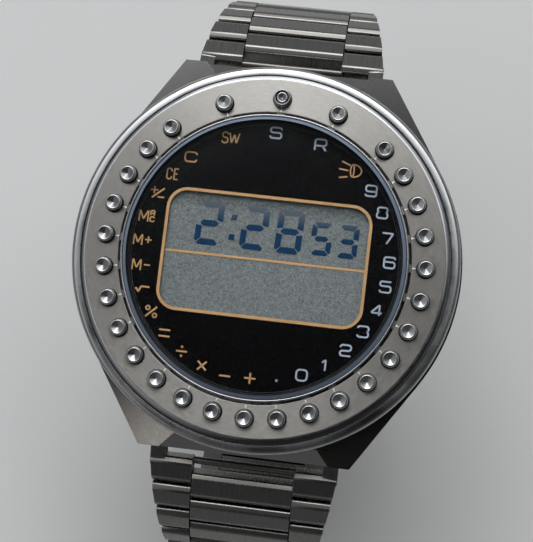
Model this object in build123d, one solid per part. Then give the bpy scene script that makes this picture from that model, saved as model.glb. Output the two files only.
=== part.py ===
from build123d import *
from itertools import accumulate
import math
import os

# A digital watch whose twenty-eight round push keys stand in a ring about the dial, on a
# steel bracelet with a folding clasp. Millimetres. The origin is the middle of the case
# back's outer face, +Z leaves the dial, +Y points at 12 o'clock and +X at 3 o'clock.

# Fits and gaps
running_fit = 0.05  # radial gap of anything that turns or slides
seat_gap = 0.03  # gap round a piece that is pressed or laid in its seat
overrun = 1.0  # how far a cutting tool stands past the face that it cuts

# Dial with its window
dial_thickness = 0.4
window_width = 21.1
window_height = 12.4
window_corner = 1.85

# Movement
module_wall = 0.794  # holder outside the display's corners
module_sides = 24
module_bore_gap = 0.1
display_side_border = 1.05  # display outside the window, left and right
display_end_border = 1.1
display_thickness = 1.2
frame_thickness = 3.1
board_thickness = 0.8
board_setback = 0.5  # board inside the holder's edge
board_sides = 12
connector_inset = 1.6  # strip ends inside the display's sides
connector_setback = 1.0  # strips inside the display's upper and lower edges
connector_width = 1.2
battery_radius = 5.8
battery_thickness = 3.0
battery_edge_gap = 1.365  # battery to the holder's edge
battery_turn = 205.87  # degrees from 3 o'clock
clamp_thickness = 0.15
clamp_width = 4.0
clamp_overhang = 0.7
clamp_gap = 0.05  # clamp to the back's gasket level
chip_width = 7.0
chip_thickness = 0.8
chip_place_shares = (0.4, 0.314)  # of the board's radius
crystal_can_radius = 1.0
crystal_can_length = 6.0
can_place_shares = (0.443, -0.429)  # of the board's radius
lamp_radius = 0.7
lamp_length = 4.0
lamp_offset = 1.35  # lamp's middle outside the display's side

# Crystal, its gasket and the bright ring that holds it
crystal_seat_width = 0.15
crystal_bevel_width = 0.45
crystal_bevel_height = 0.45
crystal_ring_width = 0.3  # with the gap round the crystal
crystal_ring_stand = 0.4  # how far the crystal stands above its ring
crystal_gasket_width = 0.45
crystal_gasket_thickness = 0.4

# Brushed ring that carries the keys
ring_bore_gap = 0.1
ring_width = 3.7
ring_thickness = 1.05

# Keys
key_circle_inset = 1.65  # ring's bore to the circle of keys
key_head_height = 0.85  # above the brushed ring
key_radius = 0.9
key_sides = 12  # the turned sides of these small pieces are made of flats
key_dish_radius = 0.68
key_dish_floor_radius = 0.2
key_dish_depth = 0.42
key_flange_width = 2.3  # across the flats of the hexagonal flange under the ring
key_flange_height = 0.35
key_travel = 0.45

# Setting key and the collar round it
collar_foot_radius = 1.0
collar_lip_radius = 0.84
collar_bore_radius = 0.71
setting_key_gap = 0.075
setting_dish_radius = 0.43
setting_dish_floor_radius = 0.15
setting_dish_depth = 0.28
setting_flange_width = 1.8

# Channel for the keys in the case and what lies in it
channel_inner_ledge = 0.2
channel_outer_ledge = 0.6
contact_ring_thickness = 0.8
membrane_thickness = 0.3
membrane_gap = 0.05  # under a key that is pressed home
strip_sides = 36  # the two strips in the channel run in short straight lengths

# Polished rim and the dark step inside it
rim_width = 1.1
rim_step_width = 0.5
rim_step_drop = 0.5  # below the raised wall's top
rim_stand = 0.2  # above the raised wall's top
rim_bevel_width = 0.6
rim_bevel_height = 0.8

# Case. A raised wall inside the polished rim carries the brushed ring.
body_ledge = 0.3  # body outside the polished rim
body_bottom = 0.5
body_edge_bevel = 1.1  # lower edge, all the way round
neck_stand = 2.6  # raised wall above the flat facets at the lug corners
corner_stand = 0.1  # case ends past the round side
lug_wall = 0.9  # lug corner outside the ears' room

# Sloping end faces between the lug corners
facet_inner_width = 3.7
facet_outer_width = 2.3
end_slope_length = 1.65
end_slope_drop = 1.1

# Case back, pressed in from below, and its gasket
back_ledge = 2.95  # back outside the movement's bore
back_rim_width = 2.55
back_thickness = 1.1
back_gasket_width = 1.6
back_gasket_thickness = 0.3
pry_notch_width = 3.0
pry_notch_depth = 0.8
pry_notch_height = 0.25

# Spring bars, and the recess under each end face for the bracelet's ears
bar_radius = 0.6
bar_inset = 1.0  # inside the case ends
bar_height = 2.75
bar_end_depth = 0.7  # how far each end sits in its lug corner
ear_room_gap = 0.2
ear_swing_gap = 0.35

# Bracelet pieces
link_pitch = 3.2
link_thickness = 2.3
link_gap = 0.22  # between one piece and the next in the same row
row_gap = 0.1  # between the middle row and the outer rows
centre_width = 10.9
band_width_at_case = 20.3
band_width_at_clasp = 15.9
band_taper_length = 14.0
shoulder_length = 0.55
shoulder_height = 0.4
relief_length = 0.3
relief_height = 0.65
pin_radius = 0.45
pin_inset = 0.25  # pin ends to the outer faces of the band

# End pieces at the case
end_piece_reach = 4.2  # spring bar to the first pin
ear_width = 1.6
ear_radius = 0.95
cross_rod_radius = 0.4

# Clasp
clasp_arch_radius = 45.0
clasp_depth_below_origin = 41.0
clasp_length = 32.0
clasp_side_stand = 0.35  # cover outside the band's sides
clasp_sheet = 0.75
clasp_wall_height = 3.5
open_pivot_reach = 1.4  # how far the open pivot lies past the cover's end
ear_lip = 0.65  # how far the side walls run past that pivot
blade_thickness = 0.8
blade_width = 11.0
blade_gap = 0.35
inner_blade_gap = 0.6
knuckle_radius = 0.85
knuckle_gap = 0.2
clasp_pin_radius = 0.4
pivot_inset = 1.4
tongue_length = 3.5
fork_share = 0.45  # middle knuckle's share of the blade's width
open_pivot_gap = 0.3  # bracelet's last pin to the clasp's ears

# Slopes of the bracelet, in degrees below level, going outwards from the case
upper_first_angle = 28.0
lower_first_angle = 21.2
upper_shoulder_radius = 14.6
lower_shoulder_radius = 12.9
side_start_angle = 75.0
side_end_angle = 108.0

# How many pieces the first two lengths of each bracelet half have
upper_piece_counts = (4, 16)
lower_piece_counts = (4, 16)

# Keys clockwise from 12 o'clock
wide_key_angles = {"key_recall": 21.0, "key_switch": 339.0}
close_key_start = 42.0
close_key_step = 11.5
close_keys = (
    "light", "nine", "eight", "seven", "six", "five", "four", "three", "two", "one", "zero",
    "point", "plus", "minus", "times", "divide", "equals", "percent", "root",
    "memory_minus", "memory_plus", "memory", "sign", "clear_entry", "clear",
)

# Widths and radii that follow from the sizes above, from the window outwards
display_width = window_width + 2 * display_side_border
display_height = window_height + 2 * display_end_border
module_radius = math.hypot(display_width, display_height) / 2 + module_wall
module_bore_radius = module_radius + module_bore_gap
board_radius = module_radius - board_setback
crystal_radius = module_bore_radius + crystal_seat_width
crystal_top_radius = crystal_radius - crystal_bevel_width
crystal_ring_outer_radius = crystal_radius + crystal_ring_width
ring_inner_radius = crystal_ring_outer_radius + ring_bore_gap
ring_outer_radius = ring_inner_radius + ring_width
key_circle_radius = ring_inner_radius + key_circle_inset
channel_inner_radius = ring_inner_radius + channel_inner_ledge
channel_outer_radius = ring_outer_radius - channel_outer_ledge
neck_radius = ring_outer_radius + running_fit
rim_inner_radius = neck_radius + rim_step_width
rim_radius = rim_inner_radius + rim_width
body_radius = rim_radius + body_ledge
back_radius = module_bore_radius + back_ledge
back_face_radius = back_radius - back_rim_width
setting_key_radius = collar_bore_radius - setting_key_gap

# Places of the case ends and of what they hold
corner_reach = body_radius + corner_stand
end_slope_start = corner_reach - end_slope_length
bar_reach = corner_reach - bar_inset
ear_room_out = band_width_at_case / 2 + ear_room_gap
corner_out = ear_room_out + lug_wall
end_slope_inner_out = corner_out - facet_inner_width
end_slope_outer_out = corner_out - facet_outer_width
ear_room_depth = bar_inset + ear_radius + ear_swing_gap
ear_room_top = bar_height + ear_radius + ear_room_gap

# Places inside the movement
connector_length = display_width - 2 * connector_inset
connector_offset = display_height / 2 - connector_setback
battery_reach = module_radius - battery_edge_gap - battery_radius
battery_x = battery_reach * math.cos(math.radians(battery_turn))
battery_y = battery_reach * math.sin(math.radians(battery_turn))
clamp_length = 2 * (battery_radius + clamp_overhang)
chip_x, chip_y = (share * board_radius for share in chip_place_shares)
crystal_can_x, crystal_can_y = (share * board_radius for share in can_place_shares)
lamp_x = -(display_width / 2 + lamp_offset)

# Heights, from the back upwards
back_seat = back_thickness + back_gasket_thickness
battery_bottom = back_seat + clamp_gap + clamp_thickness
frame_bottom = battery_bottom + battery_thickness
display_top = frame_bottom + frame_thickness
display_bottom = display_top - display_thickness
dial_top = display_top + dial_thickness
board_bottom = frame_bottom - board_thickness
chip_bottom = board_bottom - chip_thickness
neck_top = dial_top
body_top = neck_top - neck_stand
rim_top = neck_top + rim_stand
rim_step_height = neck_top - rim_step_drop
ring_bottom = neck_top
ring_top = ring_bottom + ring_thickness
key_top = ring_top + key_head_height
flange_top = ring_bottom - running_fit
flange_bottom = flange_top - key_flange_height
membrane_top = flange_bottom - key_travel - membrane_gap
membrane_bottom = membrane_top - membrane_thickness
channel_floor = membrane_bottom - contact_ring_thickness
crystal_top = key_top
crystal_bottom = neck_top + crystal_gasket_thickness
crystal_ring_top = crystal_top - crystal_ring_stand

# Clasp
clasp_width = band_width_at_clasp + 2 * clasp_side_stand


def disc(radius, bottom, top):
    """A round disc about the watch's own axis."""
    base = (Align.CENTER, Align.CENTER, Align.MIN)
    return Pos(0, 0, bottom) * Cylinder(radius, top - bottom, align=base)


def tube(inner, outer, bottom, top):
    """A plain ring about the watch's own axis."""
    return disc(outer, bottom, top) - disc(inner, bottom - overrun, top + overrun)


def prism(radius, sides, bottom, top):
    """A disc with flat sides, measured to its corners."""
    return extrude(Pos(0, 0, bottom) * RegularPolygon(radius, sides), top - bottom)


def tapered_prism(radius, end_radius, sides, height):
    """A flat-sided disc on the XY plane that narrows to another radius at its top."""
    inset = (radius - end_radius) * math.cos(math.pi / sides)
    slope = math.degrees(math.atan2(inset, height))
    return extrude(RegularPolygon(radius, sides), height, taper=slope)


def turned(*profile):
    """A solid of revolution from corners given as (radius, height)."""
    outline = make_face(Polyline(*profile, close=True))
    return revolve(Plane.XZ * outline, Axis.Z)


def block(width, depth, bottom, top, x=0, y=0):
    """An upright block with its middle at (x, y)."""
    base = (Align.CENTER, Align.CENTER, Align.MIN)
    return Pos(x, y, bottom) * Box(width, depth, top - bottom, align=base)


def bar_along_x(radius, half_length, y=0, z=0):
    """A round bar along X, with its middle on the YZ plane."""
    return Pos(0, y, z) * Rot(0, 90, 0) * Cylinder(radius, 2 * half_length)


def bar_between(radius, start, end, y=0, z=0):
    """A round bar along X from one X to another."""
    middle = (start + end) / 2
    return Pos(middle, 0, 0) * bar_along_x(radius, (end - start) / 2, y, z)


def on_key_circle(angle):
    """Place of a key, from its clock angle in degrees."""
    turn = math.radians(angle)
    return Pos(key_circle_radius * math.sin(turn), key_circle_radius * math.cos(turn), 0)


def key_places():
    """Name and clock angle of every key but the setting key."""
    places = dict(wide_key_angles)
    for index, name in enumerate(close_keys):
        places["key_" + name] = close_key_start + index * close_key_step
    return places


# Case


def flank_touch():
    """Where a straight flank meets the round side: (x, y) in the first quarter."""
    corner_radius = math.hypot(corner_out, corner_reach)
    corner_angle = math.atan2(corner_out, corner_reach)
    touch_angle = corner_angle + math.acos(body_radius / corner_radius)
    return body_radius * math.sin(touch_angle), body_radius * math.cos(touch_angle)


def body_outline():
    """Plan of the case: the round side joined to the four corners by straight flanks."""
    touch_x, touch_y = flank_touch()
    corners = [
        (corner_out, corner_reach), (touch_x, touch_y), (touch_x, -touch_y),
        (corner_out, -corner_reach), (-corner_out, -corner_reach), (-touch_x, -touch_y),
        (-touch_x, touch_y), (-corner_out, corner_reach),
    ]
    return Circle(body_radius) + make_face(Polyline(*corners, close=True))


def end_slope_cutter():
    """What is cut from the 12 o'clock end to leave the sloping face between its corners."""
    reach = corner_reach + overrun
    widen = (end_slope_outer_out - end_slope_inner_out) / (corner_reach - end_slope_start)
    outer_out = end_slope_outer_out + widen * overrun
    plan = [
        (-end_slope_inner_out, end_slope_start), (end_slope_inner_out, end_slope_start),
        (outer_out, reach), (-outer_out, reach),
    ]
    fall = end_slope_drop / (corner_reach - end_slope_start)
    low = body_top - end_slope_drop - fall * overrun
    side = [(end_slope_start, body_top), (reach, low), (reach, body_top)]
    prism = extrude(Pos(0, 0, low) * make_face(Polyline(*plan, close=True)), body_top - low)
    wedge = extrude(Plane.YZ * make_face(Polyline(*side, close=True)), outer_out, both=True)
    rim_seat = disc(rim_radius, low, body_top)
    return (prism & wedge) - rim_seat


def ear_room():
    """Room under the 12 o'clock end for the bracelet's ears."""
    start = corner_reach - ear_room_depth
    depth = ear_room_depth + overrun
    return block(2 * ear_room_out, depth, body_bottom - overrun, ear_room_top, 0, start + depth / 2)


def case_body():
    body = extrude(Pos(0, 0, body_bottom) * body_outline(), body_top - body_bottom)
    body = chamfer(body.faces().sort_by(Axis.Z)[0].edges(), body_edge_bevel)
    body += disc(neck_radius, body_top, neck_top)
    body -= disc(module_bore_radius, body_bottom - overrun, neck_top + overrun)
    body -= tube(channel_inner_radius, channel_outer_radius, channel_floor, neck_top + overrun)
    body -= disc(back_radius + seat_gap, body_bottom - overrun, back_seat)
    bar_hole_half = ear_room_out + bar_end_depth + seat_gap
    for turn in (0, 180):
        end = Rot(0, 0, turn)
        body -= end * end_slope_cutter()
        body -= end * ear_room()
        body -= end * bar_along_x(bar_radius + seat_gap, bar_hole_half, bar_reach, bar_height)
    return body


def outer_rim():
    """Polished rim: a low step inside, a bevelled shoulder outside."""
    inside = neck_radius + running_fit
    return turned(
        (rim_radius, rim_top - rim_bevel_height), (rim_radius, body_top), (inside, body_top),
        (inside, rim_step_height), (rim_inner_radius, rim_step_height),
        (rim_inner_radius, rim_top), (rim_radius - rim_bevel_width, rim_top),
    )


def key_ring():
    ring = tube(ring_inner_radius, ring_outer_radius, ring_bottom, ring_top)
    hole = prism(key_radius + running_fit, key_sides, ring_bottom - overrun, ring_top + overrun)
    for angle in [0, *key_places().values()]:
        ring -= on_key_circle(angle) * hole
    return ring


# Keys


def push_key(radius, flange_width, dish_radius, dish_floor_radius, dish_depth):
    """A dished round key on the hexagonal flange that keeps it in."""
    flange = RegularPolygon(flange_width / 2, 6, major_radius=False)
    key = extrude(Pos(0, 0, flange_bottom) * flange, key_flange_height)
    key += prism(radius, key_sides, flange_bottom, key_top)
    dish = tapered_prism(dish_radius, dish_floor_radius, key_sides, dish_depth)
    return key - Pos(0, 0, key_top) * Rot(180, 0, 0) * dish


def key_body():
    return push_key(
        key_radius, key_flange_width, key_dish_radius, key_dish_floor_radius, key_dish_depth
    )


def setting_key():
    return push_key(
        setting_key_radius, setting_flange_width, setting_dish_radius, setting_dish_floor_radius,
        setting_dish_depth,
    )


def setting_collar():
    """Fixed guard round the setting key, pressed into the brushed ring."""
    collar = prism(key_radius + running_fit, key_sides, ring_bottom, ring_top)
    guard = tapered_prism(collar_foot_radius, collar_lip_radius, key_sides, key_head_height)
    collar += Pos(0, 0, ring_top) * guard
    return collar - prism(collar_bore_radius, key_sides, ring_bottom - overrun, key_top + overrun)


# Under the keys and the crystal


def channel_strip(bottom, top):
    """A flat strip that lies all the way round the channel under the keys."""
    inner = (channel_inner_radius + seat_gap) / math.cos(math.pi / strip_sides)
    outer = channel_outer_radius - seat_gap
    strip = prism(outer, strip_sides, bottom, top)
    return strip - prism(inner, strip_sides, bottom - overrun, top + overrun)


def crystal():
    bevel_bottom = crystal_top - crystal_bevel_height
    return turned(
        (0, crystal_bottom), (crystal_radius, crystal_bottom), (crystal_radius, bevel_bottom),
        (crystal_top_radius, crystal_top), (0, crystal_top),
    )


def crystal_ring():
    inside = crystal_radius + seat_gap
    return tube(inside, crystal_ring_outer_radius, neck_top, crystal_ring_top)


def crystal_gasket():
    inside = crystal_radius - crystal_gasket_width
    return tube(inside, crystal_radius, neck_top, crystal_bottom)


def dial_plate():
    opening = RectangleRounded(window_width, window_height, window_corner)
    window = extrude(Pos(0, 0, display_top - overrun) * opening, dial_thickness + 2 * overrun)
    return disc(module_radius, display_top, dial_top) - window


# Movement


def lcd_panel():
    return block(display_width, display_height, display_bottom, display_top)


def connector_places():
    return [(0, connector_offset), (0, -connector_offset)]


def lcd_connectors():
    """The two conducting rubber strips between the circuit board and the display."""
    return [
        block(connector_length, connector_width, frame_bottom, display_bottom, x, y)
        for x, y in connector_places()
    ]


def module_frame():
    """Moulded holder of the display, its strips and its lamp."""
    frame = prism(module_radius, module_sides, frame_bottom, display_top)
    pocket_width = display_width + 2 * seat_gap
    pocket_height = display_height + 2 * seat_gap
    frame -= block(pocket_width, pocket_height, display_bottom, display_top + overrun)
    slot_length = connector_length + 2 * seat_gap
    slot_width = connector_width + 2 * seat_gap
    for x, y in connector_places():
        frame -= block(slot_length, slot_width, frame_bottom - overrun, display_top, x, y)
    lamp_room = 2 * (lamp_radius + seat_gap)
    lamp_floor = display_top - lamp_room
    lamp_room_length = lamp_length + 2 * seat_gap
    frame -= block(lamp_room, lamp_room_length, lamp_floor, display_top + overrun, lamp_x, 0)
    return frame


def lamp():
    height = display_top - lamp_radius - seat_gap
    return Pos(lamp_x, 0, height) * Rot(90, 0, 0) * Cylinder(lamp_radius, lamp_length)


def circuit_board():
    battery_room = Pos(battery_x, battery_y, 0) * disc(
        battery_radius + running_fit, board_bottom - overrun, frame_bottom + overrun
    )
    return prism(board_radius, board_sides, board_bottom, frame_bottom) - battery_room


def processor_chip():
    return block(chip_width, chip_width, chip_bottom, board_bottom, chip_x, chip_y)


def timing_crystal():
    height = board_bottom - crystal_can_radius
    return Pos(crystal_can_x, crystal_can_y, height) * Rot(0, 90, 0) * Cylinder(
        crystal_can_radius, crystal_can_length
    )


def battery():
    return Pos(battery_x, battery_y, 0) * disc(battery_radius, battery_bottom, frame_bottom)


def battery_clamp():
    bottom = battery_bottom - clamp_thickness
    return block(clamp_length, clamp_width, bottom, battery_bottom, battery_x, battery_y)


# Case back


def case_back():
    """Pressed-in back: a raised middle on a wider rim, with one notch to pry it off by."""
    back = disc(back_face_radius, 0, body_bottom) + disc(back_radius, body_bottom, back_thickness)
    depth = pry_notch_depth + overrun
    middle = back_radius - pry_notch_depth + depth / 2
    notch_top = body_bottom + pry_notch_height
    return back - block(depth, pry_notch_width, body_bottom - overrun, notch_top, middle)


def back_gasket():
    return tube(back_radius - back_gasket_width, back_radius, back_thickness, back_seat)


def spring_bars():
    half = ear_room_out + bar_end_depth
    bar = bar_along_x(bar_radius, half, bar_reach, bar_height)
    return [bar, Rot(0, 0, 180) * bar]


# Clasp. It is bent to one arch about the X axis. A place on it is a radius from the
# arch's centre and a distance along the arch from the middle of the cover.

arch_centre_z = clasp_arch_radius - clasp_depth_below_origin
cover_inner_radius = clasp_arch_radius - clasp_sheet
outer_blade_radius = cover_inner_radius - blade_gap - knuckle_radius
inner_blade_radius = outer_blade_radius - blade_thickness - inner_blade_gap
fold_pivot_radius = (outer_blade_radius + inner_blade_radius) / 2
wall_top_radius = clasp_arch_radius - clasp_wall_height
half_clasp = clasp_length / 2
cover_pivot_along = -(half_clasp - pivot_inset)
fold_pivot_along = half_clasp - pivot_inset
open_pivot_along = half_clasp + open_pivot_reach
band_pivot_along = -(half_clasp + tongue_length)
open_pivot_radius = outer_blade_radius


def arch_turn(along):
    return along / clasp_arch_radius


def arch_point(radius, along):
    """(y, z) of a place on the arch."""
    turn = arch_turn(along)
    return radius * math.sin(turn), arch_centre_z - radius * math.cos(turn)


def arch_plate(inner, outer, start, end, x_from, x_to):
    """A plate bent to the arch, between two radii and two distances along it."""
    first = math.degrees(arch_turn(start)) - 90
    sweep = math.degrees(arch_turn(end - start))
    centre = (0, arch_centre_z)
    low = CenterArc(centre, outer, first, sweep)
    high = CenterArc(centre, inner, first, sweep)
    sides = [Line(low @ 0, high @ 0), Line(low @ 1, high @ 1)]
    face = Plane.YZ.offset(x_from) * make_face([low, high, *sides])
    return extrude(face, x_to - x_from)


def clasp_bar(radius, pivot_radius, along, x_from, x_to):
    y, z = arch_point(pivot_radius, along)
    return bar_between(radius, x_from, x_to, y, z)


half_cover = clasp_width / 2
half_blade = blade_width / 2
half_fork = half_blade * fork_share
wall_inside = half_cover - clasp_sheet
half_plate = blade_thickness / 2
pin_hole = clasp_pin_radius + running_fit


def clasp_cover():
    """The outer shell: an arched plate with two side walls that end in ears."""
    cover = arch_plate(
        cover_inner_radius, clasp_arch_radius, -half_clasp, half_clasp, -half_cover, half_cover
    )
    wall_end = open_pivot_along + ear_lip
    for side in (-1, 1):
        near, far = sorted((side * wall_inside, side * half_cover))
        cover += arch_plate(wall_top_radius, clasp_arch_radius, -half_clasp, wall_end, near, far)
    reach = half_cover + overrun
    cover -= clasp_bar(pin_hole, outer_blade_radius, cover_pivot_along, -reach, reach)
    cover -= clasp_bar(pin_hole, open_pivot_radius, open_pivot_along, -reach, reach)
    return cover


def cover_pin():
    return clasp_bar(
        clasp_pin_radius, outer_blade_radius, cover_pivot_along, -half_cover, half_cover
    )


def outer_blade():
    """The blade hinged to the cover, with the middle knuckle of the fold at its far end."""
    inner = outer_blade_radius - half_plate
    outer = outer_blade_radius + half_plate
    blade = arch_plate(inner, outer, cover_pivot_along, fold_pivot_along, -half_blade, half_blade)
    swing = knuckle_radius + knuckle_gap
    for side in (-1, 1):
        near, far = sorted((side * half_fork, side * (half_blade + overrun)))
        blade -= clasp_bar(swing, fold_pivot_radius, fold_pivot_along, near, far)
    blade += clasp_bar(knuckle_radius, outer_blade_radius, cover_pivot_along, -half_blade, half_blade)
    blade += clasp_bar(knuckle_radius, fold_pivot_radius, fold_pivot_along, -half_fork, half_fork)
    reach = half_blade + overrun
    blade -= clasp_bar(pin_hole, outer_blade_radius, cover_pivot_along, -reach, reach)
    blade -= clasp_bar(pin_hole, fold_pivot_radius, fold_pivot_along, -reach, reach)
    return blade


def inner_blade():
    """The blade next to the wrist, hinged to the other blade and to the bracelet."""
    inner = inner_blade_radius - half_plate
    outer = inner_blade_radius + half_plate
    tongue = centre_width / 2
    blade = arch_plate(inner, outer, -half_clasp, fold_pivot_along, -half_blade, half_blade)
    blade += arch_plate(inner, outer, band_pivot_along, -half_clasp, -tongue, tongue)
    swing = knuckle_radius + knuckle_gap
    fork = half_fork + knuckle_gap
    blade -= clasp_bar(swing, fold_pivot_radius, fold_pivot_along, -fork, fork)
    for side in (-1, 1):
        near, far = sorted((side * fork, side * half_blade))
        blade += clasp_bar(knuckle_radius, fold_pivot_radius, fold_pivot_along, near, far)
    blade += clasp_bar(knuckle_radius, inner_blade_radius, band_pivot_along, -tongue, tongue)
    reach = half_blade + overrun
    blade -= clasp_bar(pin_hole, fold_pivot_radius, fold_pivot_along, -reach, reach)
    blade -= clasp_bar(pin_radius + running_fit, inner_blade_radius, band_pivot_along, -reach, reach)
    return blade


def fold_pin():
    return clasp_bar(
        clasp_pin_radius, fold_pivot_radius, fold_pivot_along, -half_blade, half_blade
    )


# Bracelet. Each half is worked out as (out, up): out is the distance from the middle of
# the watch towards its own end of the case. A slope is in degrees below level.


def arc_step(start, end):
    """Step in (out, up) along an arc of unit radius from one slope to the next."""
    first, last = math.radians(start), math.radians(end)
    return math.sin(last) - math.sin(first), math.cos(last) - math.cos(first)


class Route:
    """The line of pins from the spring bar to the clasp, which is made of three arcs.

    The last two arcs get the radii that bring the line to the clasp's pivot.
    """

    def __init__(self, first_slope, shoulder_radius, pivot_radius, pivot_along, odd):
        slope = math.radians(first_slope)
        self.bar = (bar_reach, bar_height)
        self.start = (
            bar_reach + end_piece_reach * math.cos(slope),
            bar_height - end_piece_reach * math.sin(slope),
        )
        self.end = arch_point(pivot_radius, pivot_along)
        last_slope = 180 - math.degrees(arch_turn(pivot_along))
        shoulder = arc_step(first_slope, side_start_angle)
        side = arc_step(side_start_angle, side_end_angle)
        under = arc_step(side_end_angle, last_slope)
        out_left = self.end[0] - self.start[0] - shoulder_radius * shoulder[0]
        up_left = self.end[1] - self.start[1] - shoulder_radius * shoulder[1]
        size = side[0] * under[1] - side[1] * under[0]
        side_radius = (out_left * under[1] - up_left * under[0]) / size
        under_radius = (side[0] * up_left - side[1] * out_left) / size
        self.arcs = [
            (shoulder_radius, first_slope, side_start_angle),
            (side_radius, side_start_angle, side_end_angle),
            (under_radius, side_end_angle, last_slope),
        ]
        length = sum(r * math.radians(b - a) for r, a, b in self.arcs)
        steps = 2 * round(length / link_pitch)
        if odd:
            steps = 2 * round(length / link_pitch - 0.5) + 1
        self.half_pitch = length / steps
        self.pins = [self.bar] + [self.walk(k * self.half_pitch) for k in range(steps + 1)]

    def walk(self, distance):
        """The point at this distance along the line."""
        out, up = self.start
        left = distance
        for radius, first, last in self.arcs:
            part = min(left, radius * math.radians(last - first))
            step = arc_step(first, first + math.degrees(part / radius))
            out += radius * step[0]
            up += radius * step[1]
            left -= part
        return out, up


upper_route = Route(
    upper_first_angle, upper_shoulder_radius, open_pivot_radius, open_pivot_along, True
)
lower_route = Route(
    lower_first_angle, lower_shoulder_radius, inner_blade_radius, -band_pivot_along, False
)


def band_half_width(distance):
    """Half the band's width at a distance from the case."""
    share = min(max(distance / band_taper_length, 0), 1)
    return (band_width_at_case + share * (band_width_at_clasp - band_width_at_case)) / 2


def link_profile(half_length):
    """Side view of a bracelet piece: sloped shoulders above, relieved corners below."""
    top = link_thickness / 2
    return [
        (-half_length, relief_height - top), (-half_length, top - shoulder_height),
        (shoulder_length - half_length, top), (half_length - shoulder_length, top),
        (half_length, top - shoulder_height), (half_length, relief_height - top),
        (half_length - relief_length, -top), (relief_length - half_length, -top),
    ]


def centre_link(half_length):
    outline = make_face(Polyline(*link_profile(half_length), close=True))
    return extrude(Plane.YZ * outline, centre_width / 2, both=True)


def outer_link(half_length, start_half_width, end_half_width):
    """The right-hand piece of an outer pair, narrower towards the clasp."""
    inside = centre_width / 2 + row_gap
    outline = make_face(Polyline(*link_profile(half_length), close=True))
    piece = extrude(Plane.YZ.offset(inside) * outline, start_half_width - inside)
    plan = [
        (inside, -half_length), (start_half_width, -half_length),
        (end_half_width, half_length), (inside, half_length),
    ]
    prism = extrude(make_face(Polyline(*plan, close=True)), link_thickness / 2, both=True)
    return piece & prism


def link_place(route, index):
    """Where piece number index lies: the middle of its chord, its Y along the chord."""
    near, far = route.pins[index], route.pins[index + 1]
    if index == 0:
        near = tuple(b - (b - a) * route.half_pitch / end_piece_reach for a, b in zip(near, far))
    slope = math.atan2(far[1] - near[1], far[0] - near[0])
    middle = ((near[0] + far[0]) / 2, (near[1] + far[1]) / 2)
    return Pos(0, *middle) * Rot(math.degrees(slope), 0, 0)


def pin_bore(route, index):
    """Hole for the pin between piece index - 1 and piece index."""
    return bar_along_x(pin_radius + running_fit, centre_width, *route.pins[index])


def end_piece(route):
    """The first outer pair as one piece: two ears on the spring bar and a cross rod."""
    half_length = route.half_pitch - link_gap / 2
    near_half, far_half = link_half_widths(route, 0)
    right = outer_link(half_length, near_half, far_half)
    bar_along = route.half_pitch / 2 - end_piece_reach
    ear_x = near_half - ear_width
    ear = bar_between(ear_radius, ear_x, near_half, bar_along)
    ear_length = ear_radius - half_length - bar_along
    ear += Pos((ear_x + near_half) / 2, bar_along + ear_length / 2, 0) * Box(
        ear_width, ear_length, 2 * ear_radius
    )
    right += ear
    rod_along = -half_length + cross_rod_radius
    inside = centre_width / 2 + row_gap
    rod = bar_between(cross_rod_radius, -inside - overrun, inside + overrun, rod_along)
    piece = right + mirror(right, about=Plane.YZ) + rod
    piece -= bar_between(bar_radius + running_fit, -near_half - overrun, near_half + overrun, bar_along)
    return piece


def link_half_widths(route, index):
    """Half widths of the band at the two ends of an outer piece."""
    half_length = route.half_pitch - link_gap / 2
    middle = (index + 0.5) * route.half_pitch
    return band_half_width(middle - half_length), band_half_width(middle + half_length)


def band_pieces(route, index):
    """The one or two solids of piece number index, in its half of the bracelet."""
    place = link_place(route, index)
    half_length = route.half_pitch - link_gap / 2
    if index == 0:
        return [place * end_piece(route)]
    if index % 2:
        return [place * centre_link(half_length)]
    right = outer_link(half_length, *link_half_widths(route, index))
    return [place * right, place * mirror(right, about=Plane.YZ)]


def hinge_pin(route, index):
    """Pin number index, pressed into the pieces that carry it."""
    half = band_half_width(index * route.half_pitch) - pin_inset
    if index == len(route.pins) - 1 and index % 2 == 0:
        half = wall_inside - open_pivot_gap
    return bar_between(pin_radius, -half, half, *route.pins[index])


def hinged_pieces(route, index, turning_pins):
    """Piece number index, carrying its turning pins if it is an outer pair or the last one.

    Any other piece is bored for the pins that turn in it.
    """
    solids = band_pieces(route, index)
    last_pin = len(route.pins) - 1
    for pin in turning_pins:
        if index not in (pin - 1, pin):
            continue
        if index % 2 == 0 or pin == last_pin:
            whole = hinge_pin(route, pin)
            for solid in solids:
                whole = whole + solid
            solids = [whole]
        else:
            solids = [solid - pin_bore(route, pin) for solid in solids]
    return solids


def band_half(route, piece_counts, turn):
    """The three lengths of one bracelet half, turned about Z to its own side of the case."""
    bounds = [0, *accumulate(piece_counts), len(route.pins) - 1]
    lengths = []
    for first, after in zip(bounds, bounds[1:]):
        solids = []
        for index in range(first, after):
            solids += hinged_pieces(route, index, bounds[1:])
        lengths.append([Rot(0, 0, turn) * solid for solid in solids])
    return lengths


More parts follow.
